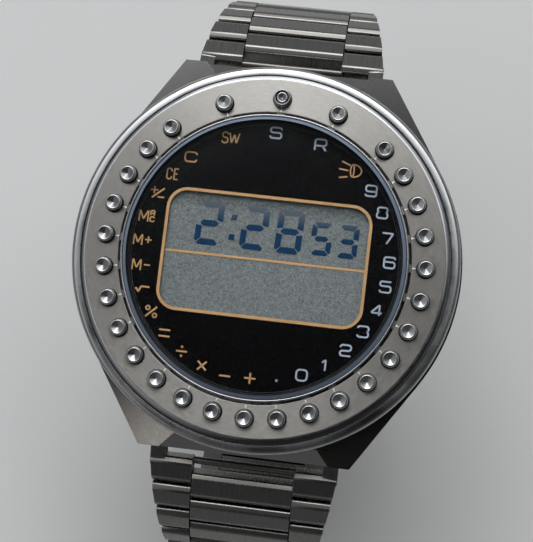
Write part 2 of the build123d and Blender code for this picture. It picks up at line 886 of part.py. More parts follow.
def nodes():
    """Every node of the watch by name, as a solid or a list of solids."""
    made = {
        "case_body": case_body(),
        "outer_rim": outer_rim(),
        "key_ring": key_ring(),
        "setting_collar": on_key_circle(0) * setting_collar(),
        "crystal": crystal(),
        "crystal_gasket": crystal_gasket(),
        "crystal_ring": crystal_ring(),
        "dial_plate": dial_plate(),
        "lcd_panel": lcd_panel(),
        "lcd_connectors": lcd_connectors(),
        "module_frame": module_frame(),
        "lamp": lamp(),
        "circuit_board": circuit_board(),
        "processor_chip": processor_chip(),
        "timing_crystal": timing_crystal(),
        "battery": battery(),
        "battery_clamp": battery_clamp(),
        "key_membrane": channel_strip(membrane_bottom, membrane_top),
        "contact_ring": channel_strip(channel_floor, membrane_bottom),
        "case_back": case_back(),
        "back_gasket": back_gasket(),
        "spring_bars": spring_bars(),
        "clasp_cover": [clasp_cover(), cover_pin()],
        "clasp_outer_blade": outer_blade(),
        "clasp_inner_blade": [inner_blade(), fold_pin()],
        "key_setting": on_key_circle(0) * setting_key(),
    }
    key = key_body()
    for name, angle in key_places().items():
        made[name] = on_key_circle(angle) * key
    upper = band_half(upper_route, upper_piece_counts, 0)
    lower = band_half(lower_route, lower_piece_counts, 180)
    for number, (above, below) in enumerate(zip(upper, lower), start=1):
        made[f"upper_band_{number}"] = above
        made[f"lower_band_{number}"] = below
    return made


def print_sizes():
    """Sizes that the source works out and the record needs."""
    for name, route in (("upper", upper_route), ("lower", lower_route)):
        print(name, "half pitch", round(route.half_pitch, 4), "pieces", len(route.pins) - 1)
        print(name, "arc radii", [round(radius, 2) for radius, first, last in route.arcs])
        print(name, "pins", [(round(out, 3), round(up, 3)) for out, up in route.pins])
    for name, radius, along in (
        ("cover pivot", outer_blade_radius, cover_pivot_along),
        ("fold pivot", fold_pivot_radius, fold_pivot_along),
        ("open pivot", open_pivot_radius, open_pivot_along),
        ("band pivot", inner_blade_radius, band_pivot_along),
    ):
        print(name, [round(value, 3) for value in arch_point(radius, along)])
    print("heights: key top", key_top, "ring top", ring_top, "dial top", round(dial_top, 3))
    print("channel floor", round(channel_floor, 3), "display top", round(display_top, 3))


def write(name, solids):
    group = solids if isinstance(solids, list) else [solids]
    parts = [solid for piece in group for solid in piece.solids()]
    shape = parts[0] if len(parts) == 1 else Compound(children=parts)
    shape.label = name
    export_step(shape, os.path.join("parts", name + ".step"))


def main():
    os.makedirs("parts", exist_ok=True)
    print_sizes()
    for name, solids in nodes().items():
        write(name, solids)


main()
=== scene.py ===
import math

import bmesh
import bpy
from mathutils import Matrix, Vector


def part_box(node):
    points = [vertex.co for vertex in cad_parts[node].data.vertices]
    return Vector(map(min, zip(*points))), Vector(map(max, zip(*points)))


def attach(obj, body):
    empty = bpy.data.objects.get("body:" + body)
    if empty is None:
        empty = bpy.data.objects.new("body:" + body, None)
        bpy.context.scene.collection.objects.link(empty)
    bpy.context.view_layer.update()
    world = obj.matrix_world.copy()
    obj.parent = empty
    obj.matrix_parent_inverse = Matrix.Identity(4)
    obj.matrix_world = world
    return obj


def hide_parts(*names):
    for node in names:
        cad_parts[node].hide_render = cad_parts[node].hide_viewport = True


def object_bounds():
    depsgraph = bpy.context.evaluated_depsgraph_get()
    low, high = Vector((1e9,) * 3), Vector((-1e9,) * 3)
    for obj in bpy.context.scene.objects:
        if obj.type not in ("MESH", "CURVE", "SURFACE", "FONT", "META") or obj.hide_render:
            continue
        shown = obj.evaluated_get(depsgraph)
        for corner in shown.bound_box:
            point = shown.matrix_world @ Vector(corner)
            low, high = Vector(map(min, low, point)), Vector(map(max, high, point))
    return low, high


# Dresses the calculator watch: steel finishes, keys, dial printing, display, crystal, bracelet
# and clasp, and the stage that it is shown on. Metres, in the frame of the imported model.

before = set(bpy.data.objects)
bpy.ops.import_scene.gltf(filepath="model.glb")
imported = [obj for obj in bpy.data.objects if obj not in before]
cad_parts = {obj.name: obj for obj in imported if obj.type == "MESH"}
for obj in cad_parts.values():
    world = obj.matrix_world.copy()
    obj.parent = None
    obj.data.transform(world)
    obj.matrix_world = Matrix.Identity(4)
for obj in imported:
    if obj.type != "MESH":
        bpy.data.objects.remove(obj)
cad_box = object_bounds()

bl_info = {
    "name": "Calculator watch dressing",
    "version": (1, 0, 0),
    "blender": (4, 5, 0),
    "location": "View3D > Sidebar > Watch",
    "description": "Steel, printing, display, keys and bracelet of a calculator watch",
    "category": "Object",
}

MM = 0.001
SHARP_ANGLE = math.radians(35)
ROUND_STEPS = 180


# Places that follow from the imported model


def node_centre(node):
    low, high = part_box(node)
    return (low + high) / 2


NOT_KEYS = ("key_ring", "key_membrane")
KEYS = sorted(
    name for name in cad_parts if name.startswith("key_") and name not in NOT_KEYS
)
PUSH_KEYS = [name for name in KEYS if name != "key_setting"]
RING_LOW, RING_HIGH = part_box("key_ring")
RIM_LOW, RIM_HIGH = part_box("outer_rim")
CRYSTAL_LOW, CRYSTAL_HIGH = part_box("crystal")
CRYSTAL_RING_LOW, CRYSTAL_RING_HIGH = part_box("crystal_ring")
DIAL_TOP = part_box("dial_plate")[1].z
DISPLAY_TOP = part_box("lcd_panel")[1].z
COLLAR_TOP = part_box("setting_collar")[1].z
KEY_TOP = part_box("key_plus")[1].z
KEY_CIRCLE = node_centre("key_plus").xy.length


def length(name, description, default):
    """A length that a user may change."""
    return bpy.props.FloatProperty(
        name=name, description=description, default=default, unit="LENGTH", precision=5
    )


def colour(name, description, default):
    """A colour that a user may change, in linear light."""
    return bpy.props.FloatVectorProperty(
        name=name, description=description, default=default, size=3, min=0, max=1, subtype="COLOR"
    )


class WatchSizes(bpy.types.PropertyGroup):
    ring_inner_radius: length("Ring bore", "Radius of the brushed ring's bore", 15.3 * MM)
    ring_edge: length("Ring edge", "Width of the bright bevel round the brushed ring", 0.1 * MM)
    rim_inner_radius: length("Rim bore", "Radius inside the polished rim", 19.5 * MM)
    rim_shoulder: length("Rim shoulder", "Rounding of the rim's outer edge", 0.5 * MM)
    rim_fall: length("Rim fall", "Fall of the rim's top from its bore to its shoulder", 0.12 * MM)
    groove_slope: length("Groove slope", "Width of the bright slope inside the groove", 0.36 * MM)
    groove_fall: length("Groove fall", "Height of the bright slope inside the groove", 0.11 * MM)
    groove_depth: length("Groove depth", "Depth of the groove inside the rim", 0.62 * MM)
    key_foot_radius: length("Key foot", "Radius of a key where it leaves the ring", 0.9 * MM)
    key_lip_radius: length("Key lip", "Radius of the bright lip at a key's top", 0.86 * MM)
    key_dish_radius: length("Key dish", "Radius of the dish in a key's top", 0.64 * MM)
    key_lip_round: length("Lip rounding", "Rounding of a key's lip", 0.13 * MM)
    key_dish_depth: length("Dish depth", "Depth of the dish in a key's top", 0.305 * MM)
    edge_break: length("Edge break", "Width of the broken edges of case and clasp", 0.12 * MM)
    flank_break: length("Flank edge", "Width of the bright edge above the case's flanks", 0.24 * MM)
    crease_round: length("Crease", "Rounding where the lug corners meet the sloping ends", 0.4 * MM)
    link_break: length("Link edge", "Width of the broken edges of bracelet pieces", 0.07 * MM)
    link_nose: length("Link nose", "Rounding of the bracelet pieces' shoulders", 0.2 * MM)
    crystal_flat_radius: length("Crystal top", "Radius of the crystal's flat top", 14.38 * MM)
    crystal_bevel: length("Crystal bevel", "Height of the crystal's bevel", 0.45 * MM)
    legend_radius: length("Legend circle", "Radius on which the legends stand", 13.05 * MM)
    legend_height: length("Legend height", "Height of the legends", 1.3 * MM)
    legend_stroke: length("Legend stroke", "Width of the legends' strokes", 0.18 * MM)
    window_width: length("Window width", "Width of the dial's window", 21.1 * MM)
    window_height: length("Window height", "Height of the dial's window", 12.4 * MM)
    window_corner: length("Window corner", "Corner radius of the dial's window", 1.85 * MM)
    frame_line: length("Frame line", "Width of the gold line round the window", 0.31 * MM)
    digit_height: length("Digit height", "Height of the large digits", 4.65 * MM)
    small_digit_height: length("Seconds height", "Height of the small digits", 3.5 * MM)


class WatchColours(bpy.types.PropertyGroup):
    steel: colour("Steel", "Satin steel of the case", (0.2583, 0.25, 0.2417))
    # The bracelet's and clasp's steel and the bracelet's shoulders are darker than the case's steel as
    # painted shade.
    band_steel: colour("Bracelet steel", "Brushed steel of bracelet and clasp", (0.175, 0.1717, 0.165))
    band_nose: colour("Bracelet noses", "Bright shoulders of the bracelet pieces", (0.1417, 0.1317, 0.12))
    bright_steel: colour("Bright steel", "Polished steel", (0.3417, 0.3417, 0.3417))
    ring_steel: colour("Ring steel", "Brushed steel of the ring", (0.3292, 0.315, 0.2933))
    dial: colour("Dial", "Black of the dial", (0.0008, 0.0008, 0.001))
    silver_print: colour("Silver print", "Legends of the numbers", (0.3333, 0.375, 0.4417))
    gold_print: colour("Gold print", "Other legends and lines", (0.4833, 0.2667, 0.1))
    display: colour("Display", "Grey of the display", (0.1483, 0.1617, 0.1583))
    segment: colour("Segments", "Blue of the display's segments", (0.004, 0.03, 0.075))
    crystal_edge: colour("Crystal edge", "Ground bevel of the crystal", (0.1667, 0.2083, 0.275))
    floor: colour("Floor", "Pale floor under the watch", (0.62, 0.62, 0.61))


def sizes():
    return bpy.context.scene.watch_sizes


def colours():
    return bpy.context.scene.watch_colours


# Node graphs


class Graph:
    """A tree of shader nodes, with short ways to add to it."""

    def __init__(self, tree):
        self.tree = tree

    def add(self, kind, **settings):
        node = self.tree.nodes.new(kind)
        for name, value in settings.items():
            setattr(node, name, value)
        return node

    def link(self, source, target):
        self.tree.links.new(source, target)

    def math(self, operation, first, second=0.0):
        node = self.add("ShaderNodeMath", operation=operation)
        for socket, value in zip(node.inputs, (first, second)):
            if isinstance(value, bpy.types.NodeSocket):
                self.link(value, socket)
            else:
                socket.default_value = value
        return node.outputs[0]

    def part(self, point, axis):
        """A point's distance along one axis."""
        parts = self.add("ShaderNodeSeparateXYZ")
        self.link(point, parts.inputs[0])
        return parts.outputs[axis]

    def span(self, value, low, high, start=0.3, end=0.7, kind="LINEAR"):
        """Runs from low to high as the value goes from start to end."""
        node = self.add("ShaderNodeMapRange", interpolation_type=kind)
        self.link(value, node.inputs["Value"])
        for name, number in (("From Min", start), ("From Max", end), ("To Min", low), ("To Max", high)):
            node.inputs[name].default_value = number
        return node.outputs[0]


class Finish(Graph):
    """The node graph of one finish."""

    def __init__(self, name, base, roughness, metallic=0.0):
        self.name = name
        self.material = bpy.data.materials.new(name)
        self.material.use_nodes = True
        super().__init__(self.material.node_tree)
        self.shader = self.tree.nodes["Principled BSDF"]
        self.base = tuple(base)
        self.put("Base Color", (*base, 1.0))
        self.put("Roughness", roughness)
        self.put("Metallic", metallic)

    def put(self, socket, value):
        self.shader.inputs[socket].default_value = value

    def drive(self, value, socket):
        self.link(value, self.shader.inputs[socket])

    def place(self):
        """The point on the piece, in metres."""
        return self.add("ShaderNodeTexCoord").outputs["Object"]

    def scaled(self, along_x, along_y, along_z):
        """The point on the piece, stretched along each axis."""
        node = self.add("ShaderNodeVectorMath", operation="MULTIPLY")
        self.link(self.place(), node.inputs[0])
        node.inputs[1].default_value = (along_x, along_y, along_z)
        return node.outputs[0]

    def round_the_ring(self, along, across):
        """A point that changes slowly round the watch's axis and fast outwards."""
        sides = {axis: self.part(self.place(), axis) for axis in "XY"}
        squares = [self.math("POWER", side, 2.0) for side in sides.values()]
        radius = self.math("SQRT", self.math("ADD", *squares))
        joined = self.add("ShaderNodeCombineXYZ")
        for axis, side in sides.items():
            turn = self.math("DIVIDE", side, radius)
            self.link(self.math("MULTIPLY", turn, along), joined.inputs[axis])
        self.link(self.math("MULTIPLY", radius, across), joined.inputs["Z"])
        return joined.outputs[0]

    def noise(self, point, scale=1.0, detail=2.0):
        """Noise from 0 to 1, with so many features to a unit of the point."""
        node = self.add("ShaderNodeTexNoise")
        node.inputs["Scale"].default_value = scale
        node.inputs["Detail"].default_value = detail
        self.link(point, node.inputs["Vector"])
        return node.outputs["Fac"]

    def sum_of(self, first, second, share):
        """The first value times its share, plus the second times the rest."""
        return self.math(
            "ADD", self.math("MULTIPLY", first, share), self.math("MULTIPLY", second, 1 - share)
        )

    def tint(self, factor, first, second):
        """A base colour that goes from the first to the second with the factor."""
        node = self.add("ShaderNodeMix", data_type="RGBA")
        self.link(factor, node.inputs["Factor"])
        node.inputs["A"].default_value = (*first, 1.0)
        node.inputs["B"].default_value = (*second, 1.0)
        self.drive(node.outputs["Result"], "Base Color")

    def shade(self, value, dark, light):
        """The base colour times a factor that goes from dark to light with the value."""
        ends = [[min(1, part * factor) for part in self.base] for factor in (dark, light)]
        self.tint(self.span(value, 0.0, 1.0), *ends)

    def rough(self, value, low, high):
        self.drive(self.span(value, low, high), "Roughness")

    def bump(self, height, strength, depth):
        node = self.add("ShaderNodeBump")
        node.inputs["Strength"].default_value = strength
        node.inputs["Distance"].default_value = depth
        self.link(height, node.inputs["Height"])
        self.drive(node.outputs["Normal"], "Normal")

    def spread_gloss(self, axis, amount):
        """Gloss that spreads across lines which run round an axis."""
        self.put("Anisotropic", amount)
        self.put("Anisotropic Rotation", 0.25)
        node = self.add("ShaderNodeTangent", direction_type="RADIAL", axis=axis)
        self.drive(node.outputs["Tangent"], "Tangent")

    def dulled(self):
        """The same surface with little gloss, as a print under a crystal shows."""
        self.put("Specular IOR Level", 0.08)
        return self


def straight_lines(along_x, along_y, along_z):
    """Lines along the axes that have the low numbers, which count features to a metre."""
    return lambda finish: finish.scaled(along_x, along_y, along_z)


def ring_lines(along, across):
    """Lines round the watch's axis."""
    return lambda finish: finish.round_the_ring(along, across)


def brushed(name, base, roughness, lines_of, gloss=None, depth=0.003 * MM, shades=(0.88, 1.1)):
    """Steel with fine lines, whose directions lines_of gives.

    gloss is the axis that the lines run round, and how far the gloss spreads across them.
    """
    finish = Finish(name, base, roughness, metallic=1.0)
    lines = finish.noise(lines_of(finish), detail=4.0)
    clouds = finish.noise(finish.place(), scale=160.0)
    finish.shade(finish.sum_of(lines, clouds, 0.75), *shades)
    finish.rough(lines, roughness - 0.04, roughness + 0.06)
    finish.bump(lines, 0.35, depth)
    if gloss:
        finish.spread_gloss(*gloss)
    return finish


def polished(name, base, roughness):
    """Bright steel with faint smears and a few hairline scratches."""
    finish = Finish(name, base, roughness, metallic=1.0)
    smears = finish.noise(finish.place(), scale=220.0, detail=4.0)
    scratches = finish.noise(finish.scaled(9000.0, 500.0, 900.0))
    finish.shade(smears, 0.93, 1.04)
    finish.rough(smears, roughness * 0.8, roughness * 1.7)
    finish.bump(scratches, 0.12, 0.002 * MM)
    return finish


def turned(name, base, roughness):
    """Polished steel turned on a lathe: its gloss spreads outwards from the piece's own axis."""
    finish = polished(name, base, roughness)
    finish.spread_gloss("Z", 0.35)
    return finish


def satin(name, base, roughness):
    """Steel with an even, fine satin finish."""
    finish = Finish(name, base, roughness, metallic=1.0)
    finish.shade(finish.noise(finish.place(), scale=250.0), 0.97, 1.03)
    finish.rough(finish.noise(finish.place(), scale=7000.0), roughness - 0.012, roughness + 0.018)
    return finish


def plain(name, base, roughness, grain=2500.0, depth=0.01 * MM, metallic=0.0, variation=0.12):
    """A moulded, printed or plated surface with a fine grain."""
    finish = Finish(name, base, roughness, metallic)
    grains = finish.noise(finish.place(), scale=grain, detail=3.0)
    clouds = finish.noise(finish.place(), scale=250.0)
    finish.shade(clouds, 1 - variation, 1 + variation)
    finish.rough(grains, max(0.02, roughness - 0.05), roughness + 0.07)
    finish.bump(grains, 0.3, depth)
    return finish


def clear_glass(name, base, roughness=0.01):
    """Glass that lets the lamps through to what lies under it."""
    finish = Finish(name, base, roughness)
    finish.put("Transmission Weight", 1.0)
    finish.put("IOR", 1.5)
    smears = finish.noise(finish.place(), scale=90.0, detail=1.0)
    finish.rough(smears, roughness, roughness + 0.012)
    rays = finish.add("ShaderNodeLightPath")
    open_glass = finish.add("ShaderNodeBsdfTransparent")
    either = finish.add("ShaderNodeMixShader")
    sources = (rays.outputs["Is Shadow Ray"], finish.shader.outputs[0], open_glass.outputs[0])
    for source, socket in zip(sources, either.inputs):
        finish.link(source, socket)
    finish.link(either.outputs[0], finish.tree.nodes["Material Output"].inputs["Surface"])
    return finish


# Where the painted shadow of the window's top edge starts and ends on the display, and where the segments'
# painted paling runs, as distances from the watch's axis.
DISPLAY_PAINTED_SHADOW = (4.4 * MM, 6.0 * MM)
SEGMENT_PAINTED_FADE = (3.4 * MM, 5.3 * MM)


def display_grey():
    """The display's reflector: grey with a fine sparkle, and a painted shadow that darkens it towards its
    top edge.
    """
    finish = Finish("display_grey", colours().display, 0.42)
    sparkle = finish.noise(finish.place(), scale=5200.0)
    coarse = finish.noise(finish.place(), scale=2300.0)
    height = finish.part(finish.place(), "Y")
    # Painted shadow: the base colour is darkened towards the top of the window.
    shadow = finish.span(height, 0.0, 0.17, *DISPLAY_PAINTED_SHADOW)
    speckle = finish.sum_of(sparkle, coarse, 0.65)
    finish.shade(finish.math("SUBTRACT", speckle, shadow), 0.5, 1.55)
    finish.rough(sparkle, 0.3, 0.55)
    finish.bump(sparkle, 0.5, 0.01 * MM)
    return finish


def segment_blue():
    """Dark blue of the lit segments, with painted paling towards the top of the window that stands in for
    the light's loss of contrast there.
    """
    finish = Finish("segment_blue", colours().segment, 0.35)
    height = finish.part(finish.place(), "Y")
    painted_pale = [0.4 * own + 0.6 * behind for own, behind in zip(colours().segment, colours().display)]
    # Painted light: the segments' colour runs towards the display's grey higher up.
    finish.tint(finish.span(height, 0.0, 1.0, *SEGMENT_PAINTED_FADE), finish.base, painted_pale)
    finish.rough(finish.noise(finish.place(), scale=4000.0), 0.3, 0.45)
    return finish


MATERIALS = {}


def make_materials():
    """Every finish of the watch, by name."""
    tone = colours()
    along_band = straight_lines(14000.0, 350.0, 350.0)
    faint = {"gloss": ("X", 0.5), "depth": 0.0012 * MM, "shades": (0.92, 1.07)}
    printed = {"grain": 6000.0, "depth": 0.004 * MM}
    finishes = (
        satin("case_satin", tone.steel, 0.15),
        polished("case_polish", tone.bright_steel, 0.13),
        polished("rim_polish", tone.bright_steel, 0.2),
        # Dark steel that paints the shade in the groove inside the rim and on the stakes inside the ring.
        plain("groove_painted_shade", (0.16, 0.16, 0.165), 0.4, metallic=1.0),
        satin("slope_satin", (0.167, 0.171, 0.18), 0.22),
        # Pale steel of the ticks and fine lines on the ring: a painted highlight.
        plain("mark_painted_highlight", (0.8, 0.79, 0.76), 0.5, grain=6000.0, metallic=1.0),
        brushed("ring_brushed", tone.ring_steel, 0.36, ring_lines(24.0, 9500.0), ("Z", 0.7)),
        polished("key_polish", tone.bright_steel, 0.13),
        turned("key_turned", tone.bright_steel, 0.2),
        # The bracelet and clasp take the darkened steel: painted shade.
        brushed("band_brushed", tone.band_steel, 0.28, along_band, **faint),
        satin("band_polish", tone.band_nose, 0.36),
        brushed("clasp_brushed", tone.band_steel, 0.28, along_band, **faint),
        brushed("blade_satin", tone.steel, 0.28, along_band),
        brushed("back_satin", tone.steel, 0.3, ring_lines(5.0, 7000.0), ("Z", 0.5)),
        polished("bar_steel", tone.steel, 0.22),
        clear_glass("crystal_clear", (0.97, 0.985, 1.0)),
        plain("crystal_edge", tone.crystal_edge, 0.35, grain=900.0, variation=0.05),
        plain("dial_black", tone.dial, 0.3, grain=6000.0, depth=0.0005 * MM, variation=0.1).dulled(),
        plain("silver_print", tone.silver_print, 0.4, **printed),
        plain("edge_grey", (0.06, 0.06, 0.065), 0.4, **printed),
        plain("gold_print", tone.gold_print, 0.38, **printed),
        display_grey().dulled(),
        segment_blue().dulled(),
        plain("black_rubber", (0.018, 0.018, 0.02), 0.6),
        plain("grey_rubber", (0.06, 0.06, 0.065), 0.65),
        plain("holder_cream", (0.5, 0.48, 0.42), 0.5),
        plain("board_green", (0.02, 0.11, 0.045), 0.35, grain=1500.0),
        plain("chip_black", (0.012, 0.012, 0.013), 0.5, grain=5000.0),
        plain("can_metal", (0.6, 0.6, 0.6), 0.3, grain=3000.0, metallic=1.0),
        brushed("battery_metal", tone.steel, 0.25, straight_lines(500.0, 500.0, 6000.0)),
        plain("contact_copper", (0.55, 0.27, 0.1), 0.35, grain=3000.0, metallic=1.0),
        clear_glass("lamp_clear", (0.98, 0.93, 0.8), 0.05),
    )
    for finish in finishes:
        MATERIALS[finish.name] = finish.material


# Meshes


def in_scene(name, data):
    """A named object with its data, linked to the scene."""
    item = bpy.data.objects.new(name, data)
    bpy.context.scene.collection.objects.link(item)
    return item


def finished_piece(name, mesh, material_names, body, replaced=()):
    """A mesh as a piece of the watch, with its finishes and the body it rides on."""
    mesh.name = name + "_mesh"
    piece = in_scene(name, mesh)
    for material in material_names:
        mesh.materials.append(MATERIALS[material])
    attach(piece, body)
    if replaced:
        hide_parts(*replaced)
    return piece


def raw_mesh(graph):
    """The mesh of a bmesh, which is freed."""
    mesh = bpy.data.meshes.new("mesh")
    graph.to_mesh(mesh)
    graph.free()
    return mesh


def mesh_of(graph, smooth=True):
    """The mesh of a bmesh, smooth but for its sharp edges."""
    bmesh.ops.recalc_face_normals(graph, faces=graph.faces)
    mesh = raw_mesh(graph)
    for face in mesh.polygons:
        face.use_smooth = smooth
    if smooth:
        mesh.set_sharp_from_angle(angle=SHARP_ANGLE)
    return mesh


def on_circle(centre, radius, share):
    """The point of a circle after a share of a turn from X."""
    turn = 2 * math.pi * share
    return centre[0] + radius * math.cos(turn), centre[1] + radius * math.sin(turn)


def circle(centre, radius, steps):
    return [on_circle(centre, radius, step / steps) for step in range(steps)]


def at_clock(angle, radius):
    """The point at a clock angle, which grows from 12 o'clock towards 3."""
    return radius * math.sin(angle), radius * math.cos(angle)


def lathe(graph, profile, steps, centre=(0.0, 0.0), slots=None):
    """Turns a profile of (radius, height) about an upright axis.

    The profile is closed unless it starts and ends on the axis. slots gives each of its stretches
    its material.
    """
    loops = []
    for radius, height in profile:
        ring = circle(centre, radius, steps) if radius else [centre]
        loops.append([graph.verts.new((x, y, height)) for x, y in ring])
    stretches = len(profile) if profile[0][0] or profile[-1][0] else len(profile) - 1
    for index in range(stretches):
        first, second = loops[index], loops[(index + 1) % len(loops)]
        if len(first) == 1 and len(second) == 1:
            continue
        for step in range(steps):
            after = (step + 1) % steps
            corners = [
                first[step % len(first)], first[after % len(first)],
                second[after % len(second)], second[step % len(second)],
            ]
            face = graph.faces.new(list(dict.fromkeys(corners)))
            if slots:
                face.material_index = slots[index]


def turned_piece(
    name, profile, materials, node, slots=None, steps=ROUND_STEPS, body="case", centre=(0.0, 0.0)
):
    """A piece turned from its half section, in place of a node."""
    graph = bmesh.new()
    lathe(graph, profile, steps, centre, slots)
    finished_piece(name, mesh_of(graph), materials, body, [node])


def rounded(corner_in, corner, corner_out, radius, steps=4):
    """Points of the arc that rounds a corner between two neighbours, in two dimensions."""
    corner = Vector(corner)
    towards_in = (Vector(corner_in) - corner).normalized()
    towards_out = (Vector(corner_out) - corner).normalized()
    half = towards_in.angle(towards_out) / 2
    reach = radius / math.tan(half)
    start, end = corner + towards_in * reach, corner + towards_out * reach
    centre = corner + (towards_in + towards_out).normalized() * (radius / math.sin(half))
    arc = []
    for step in range(steps + 1):
        spoke = ((start - centre).lerp(end - centre, step / steps)).normalized() * radius
        arc.append(tuple(centre + spoke))
    return arc


# The share of a stretch that one corner's rounding may take, with a rounded neighbour and without.
SHARED_ROOM, OWN_ROOM = 0.49, 0.95


def rounded_line(points, radius, closed=False, steps=4):
    """A line of points with its corners rounded, as far as their neighbours leave room."""
    line = []
    last = len(points) - 1
    for index, point in enumerate(points):
        if not closed and index in (0, last):
            line.append(tuple(point))
            continue
        before, after = points[index - 1], points[(index + 1) % len(points)]
        back, ahead = Vector(before) - Vector(point), Vector(after) - Vector(point)
        room = min(
            back.length * (SHARED_ROOM if closed or index > 1 else OWN_ROOM),
            ahead.length * (SHARED_ROOM if closed or index < last - 1 else OWN_ROOM),
        )
        fitting = min(radius, room * math.tan(back.angle(ahead) / 2))
        line += rounded(before, point, after, fitting, steps)
    return line


# A bend's mitre grows until the cosine of half the bend falls to this.
MITRE_LIMIT = 0.4


def strip(graph, line, half_width, low, high, closed=False):
    """A flat strip of even width along a line in plan, as a closed solid."""
    count = len(line)
    sides = []
    for index, point in enumerate(line):
        before = line[index - 1] if index or closed else point
        after = line[(index + 1) % count] if index < count - 1 or closed else point
        first = (Vector(point) - Vector(before)).normalized()
        second = (Vector(after) - Vector(point)).normalized()
        first, second = first if first.length else second, second if second.length else first
        along = (first + second).normalized()
        across = Vector((-along.y, along.x)) * (half_width / max(MITRE_LIMIT, along.dot(first)))
        left, right = Vector(point) + across, Vector(point) - across
        corners = ((left, high), (right, high), (right, low), (left, low))
        sides.append([graph.verts.new((*place, height)) for place, height in corners])
    for index in range(count if closed else count - 1):
        here, there = sides[index], sides[(index + 1) % count]
        for corner in range(4):
            after = (corner + 1) % 4
            graph.faces.new((here[corner], there[corner], there[after], here[after]))
    if not closed:
        graph.faces.new(sides[0])
        graph.faces.new(sides[-1])


def plate(graph, outline, low, high):
    """A flat plate with an outline in plan, as a closed solid."""
    bottom = [graph.verts.new((x, y, low)) for x, y in outline]
    top = [graph.verts.new((x, y, high)) for x, y in outline]
    graph.faces.new(bottom)
    graph.faces.new(top)
    for index in range(len(outline)):
        after = (index + 1) % len(outline)
        graph.faces.new((bottom[index], bottom[after], top[after], top[index]))


def islands(graph):
    """The faces of each separate solid in a bmesh."""
    left = set(graph.faces)
    while left:
        group, waiting = set(), [left.pop()]
        while waiting:
            face = waiting.pop()
            group.add(face)
            for edge in face.edges:
                for other in edge.link_faces:
                    if other in left:
                        left.remove(other)
                        waiting.append(other)
        yield group


# A node's facets that lie nearly in one plane are joined, and its edges that bend more are broken.
FLAT_ANGLE = math.radians(0.6)
EDGE_ANGLE = math.radians(28)
SAME_POINT = 0.0005 * MM


def round_edges(graph, chosen, width, segments):
    """Rounds the sharp edges that chosen picks out."""
    sharp = [
        edge for edge in graph.edges
        if len(edge.link_faces) == 2 and edge.calc_face_angle() > EDGE_ANGLE and chosen(edge)
    ]
    bmesh.ops.bevel(
        graph, geom=sharp, offset=width, segments=segments, profile=0.5, affect="EDGES",
        clamp_overlap=True,
    )


def every_edge(edge):
    return True


def broken_edges(node, width, paint=None, roundings=()):
    """A node's own shape with its sharp edges broken; paint gives its faces their slots.

    roundings are wider ones that go first, each as (which edges, width).
    """
    graph = bmesh.new()
    graph.from_mesh(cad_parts[node].data)
    bmesh.ops.remove_doubles(graph, verts=graph.verts, dist=SAME_POINT)
    bmesh.ops.dissolve_limit(graph, angle_limit=FLAT_ANGLE, verts=graph.verts, edges=graph.edges)
    if paint:
        paint(graph)
    for chosen, wide in roundings:
        round_edges(graph, chosen, wide, segments=4)
    round_edges(graph, every_edge, width, segments=2)
    return mesh_of(graph)


def dressed_node(name, node, width, materials, body, paint=None, roundings=()):
    """A node's own shape with broken edges and even shading on its flats, in place of the node."""
    piece = finished_piece(name, broken_edges(node, width, paint, roundings), materials, body, [node])
    shading = piece.modifiers.new("even_shading", "WEIGHTED_NORMAL")
    shading.keep_sharp = True
    shading.weight = 80


# Case

END_REACH = 1.7 * MM
LEVEL_SLACK = 0.02 * MM
FLANK_SLACK = 0.1 * MM
# The least and the greatest share of a crease along X; above the greatest an edge runs across.
LEAN, ACROSS = 0.2, 0.98
# A face counts as level where its normal's part along Z is more than this.
LEVEL_SHARE = 0.55


def paint_case(graph):
    """Level faces are satin and the flanks are polished."""
    for face in graph.faces:
        face.material_index = 0 if abs(face.normal.z) > LEVEL_SHARE else 1


def on_lug_level(edge):
    return all(abs(vert.co.z - RIM_LOW.z) < LEVEL_SLACK for vert in edge.verts)


def direction(edge):
    return (edge.verts[0].co - edge.verts[1].co).normalized()


def crease_edge(edge):
    """Where the flat of a lug corner meets the sloping end beside it."""
    far = all(abs(vert.co.y) > RIM_HIGH.y - END_REACH for vert in edge.verts)
    return on_lug_level(edge) and far and LEAN < abs(direction(edge).x) < ACROSS


def flank_edge(edge):
    """The upper edge of a flank or of the round side."""
    middle = (edge.verts[0].co + edge.verts[1].co) / 2
    outside = middle.xy.length > RIM_HIGH.x + FLANK_SLACK
    return on_lug_level(edge) and outside and abs(direction(edge).x) < ACROSS


def build_case():
    size = sizes()
    roundings = [(crease_edge, size.crease_round), (flank_edge, size.flank_break)]
    finishes = ["case_satin", "case_polish"]
    dressed_node(
        "case", "case_body", size.edge_break, finishes, "case", paint_case, roundings
    )
    dressed_node("back_cover", "case_back", size.edge_break, ["back_satin"], "case")


NECK_GAP = 0.01 * MM
LIP_ROUND = 0.05 * MM
BRINK_WIDTH, BRINK_FALL = 0.13 * MM, 0.03 * MM


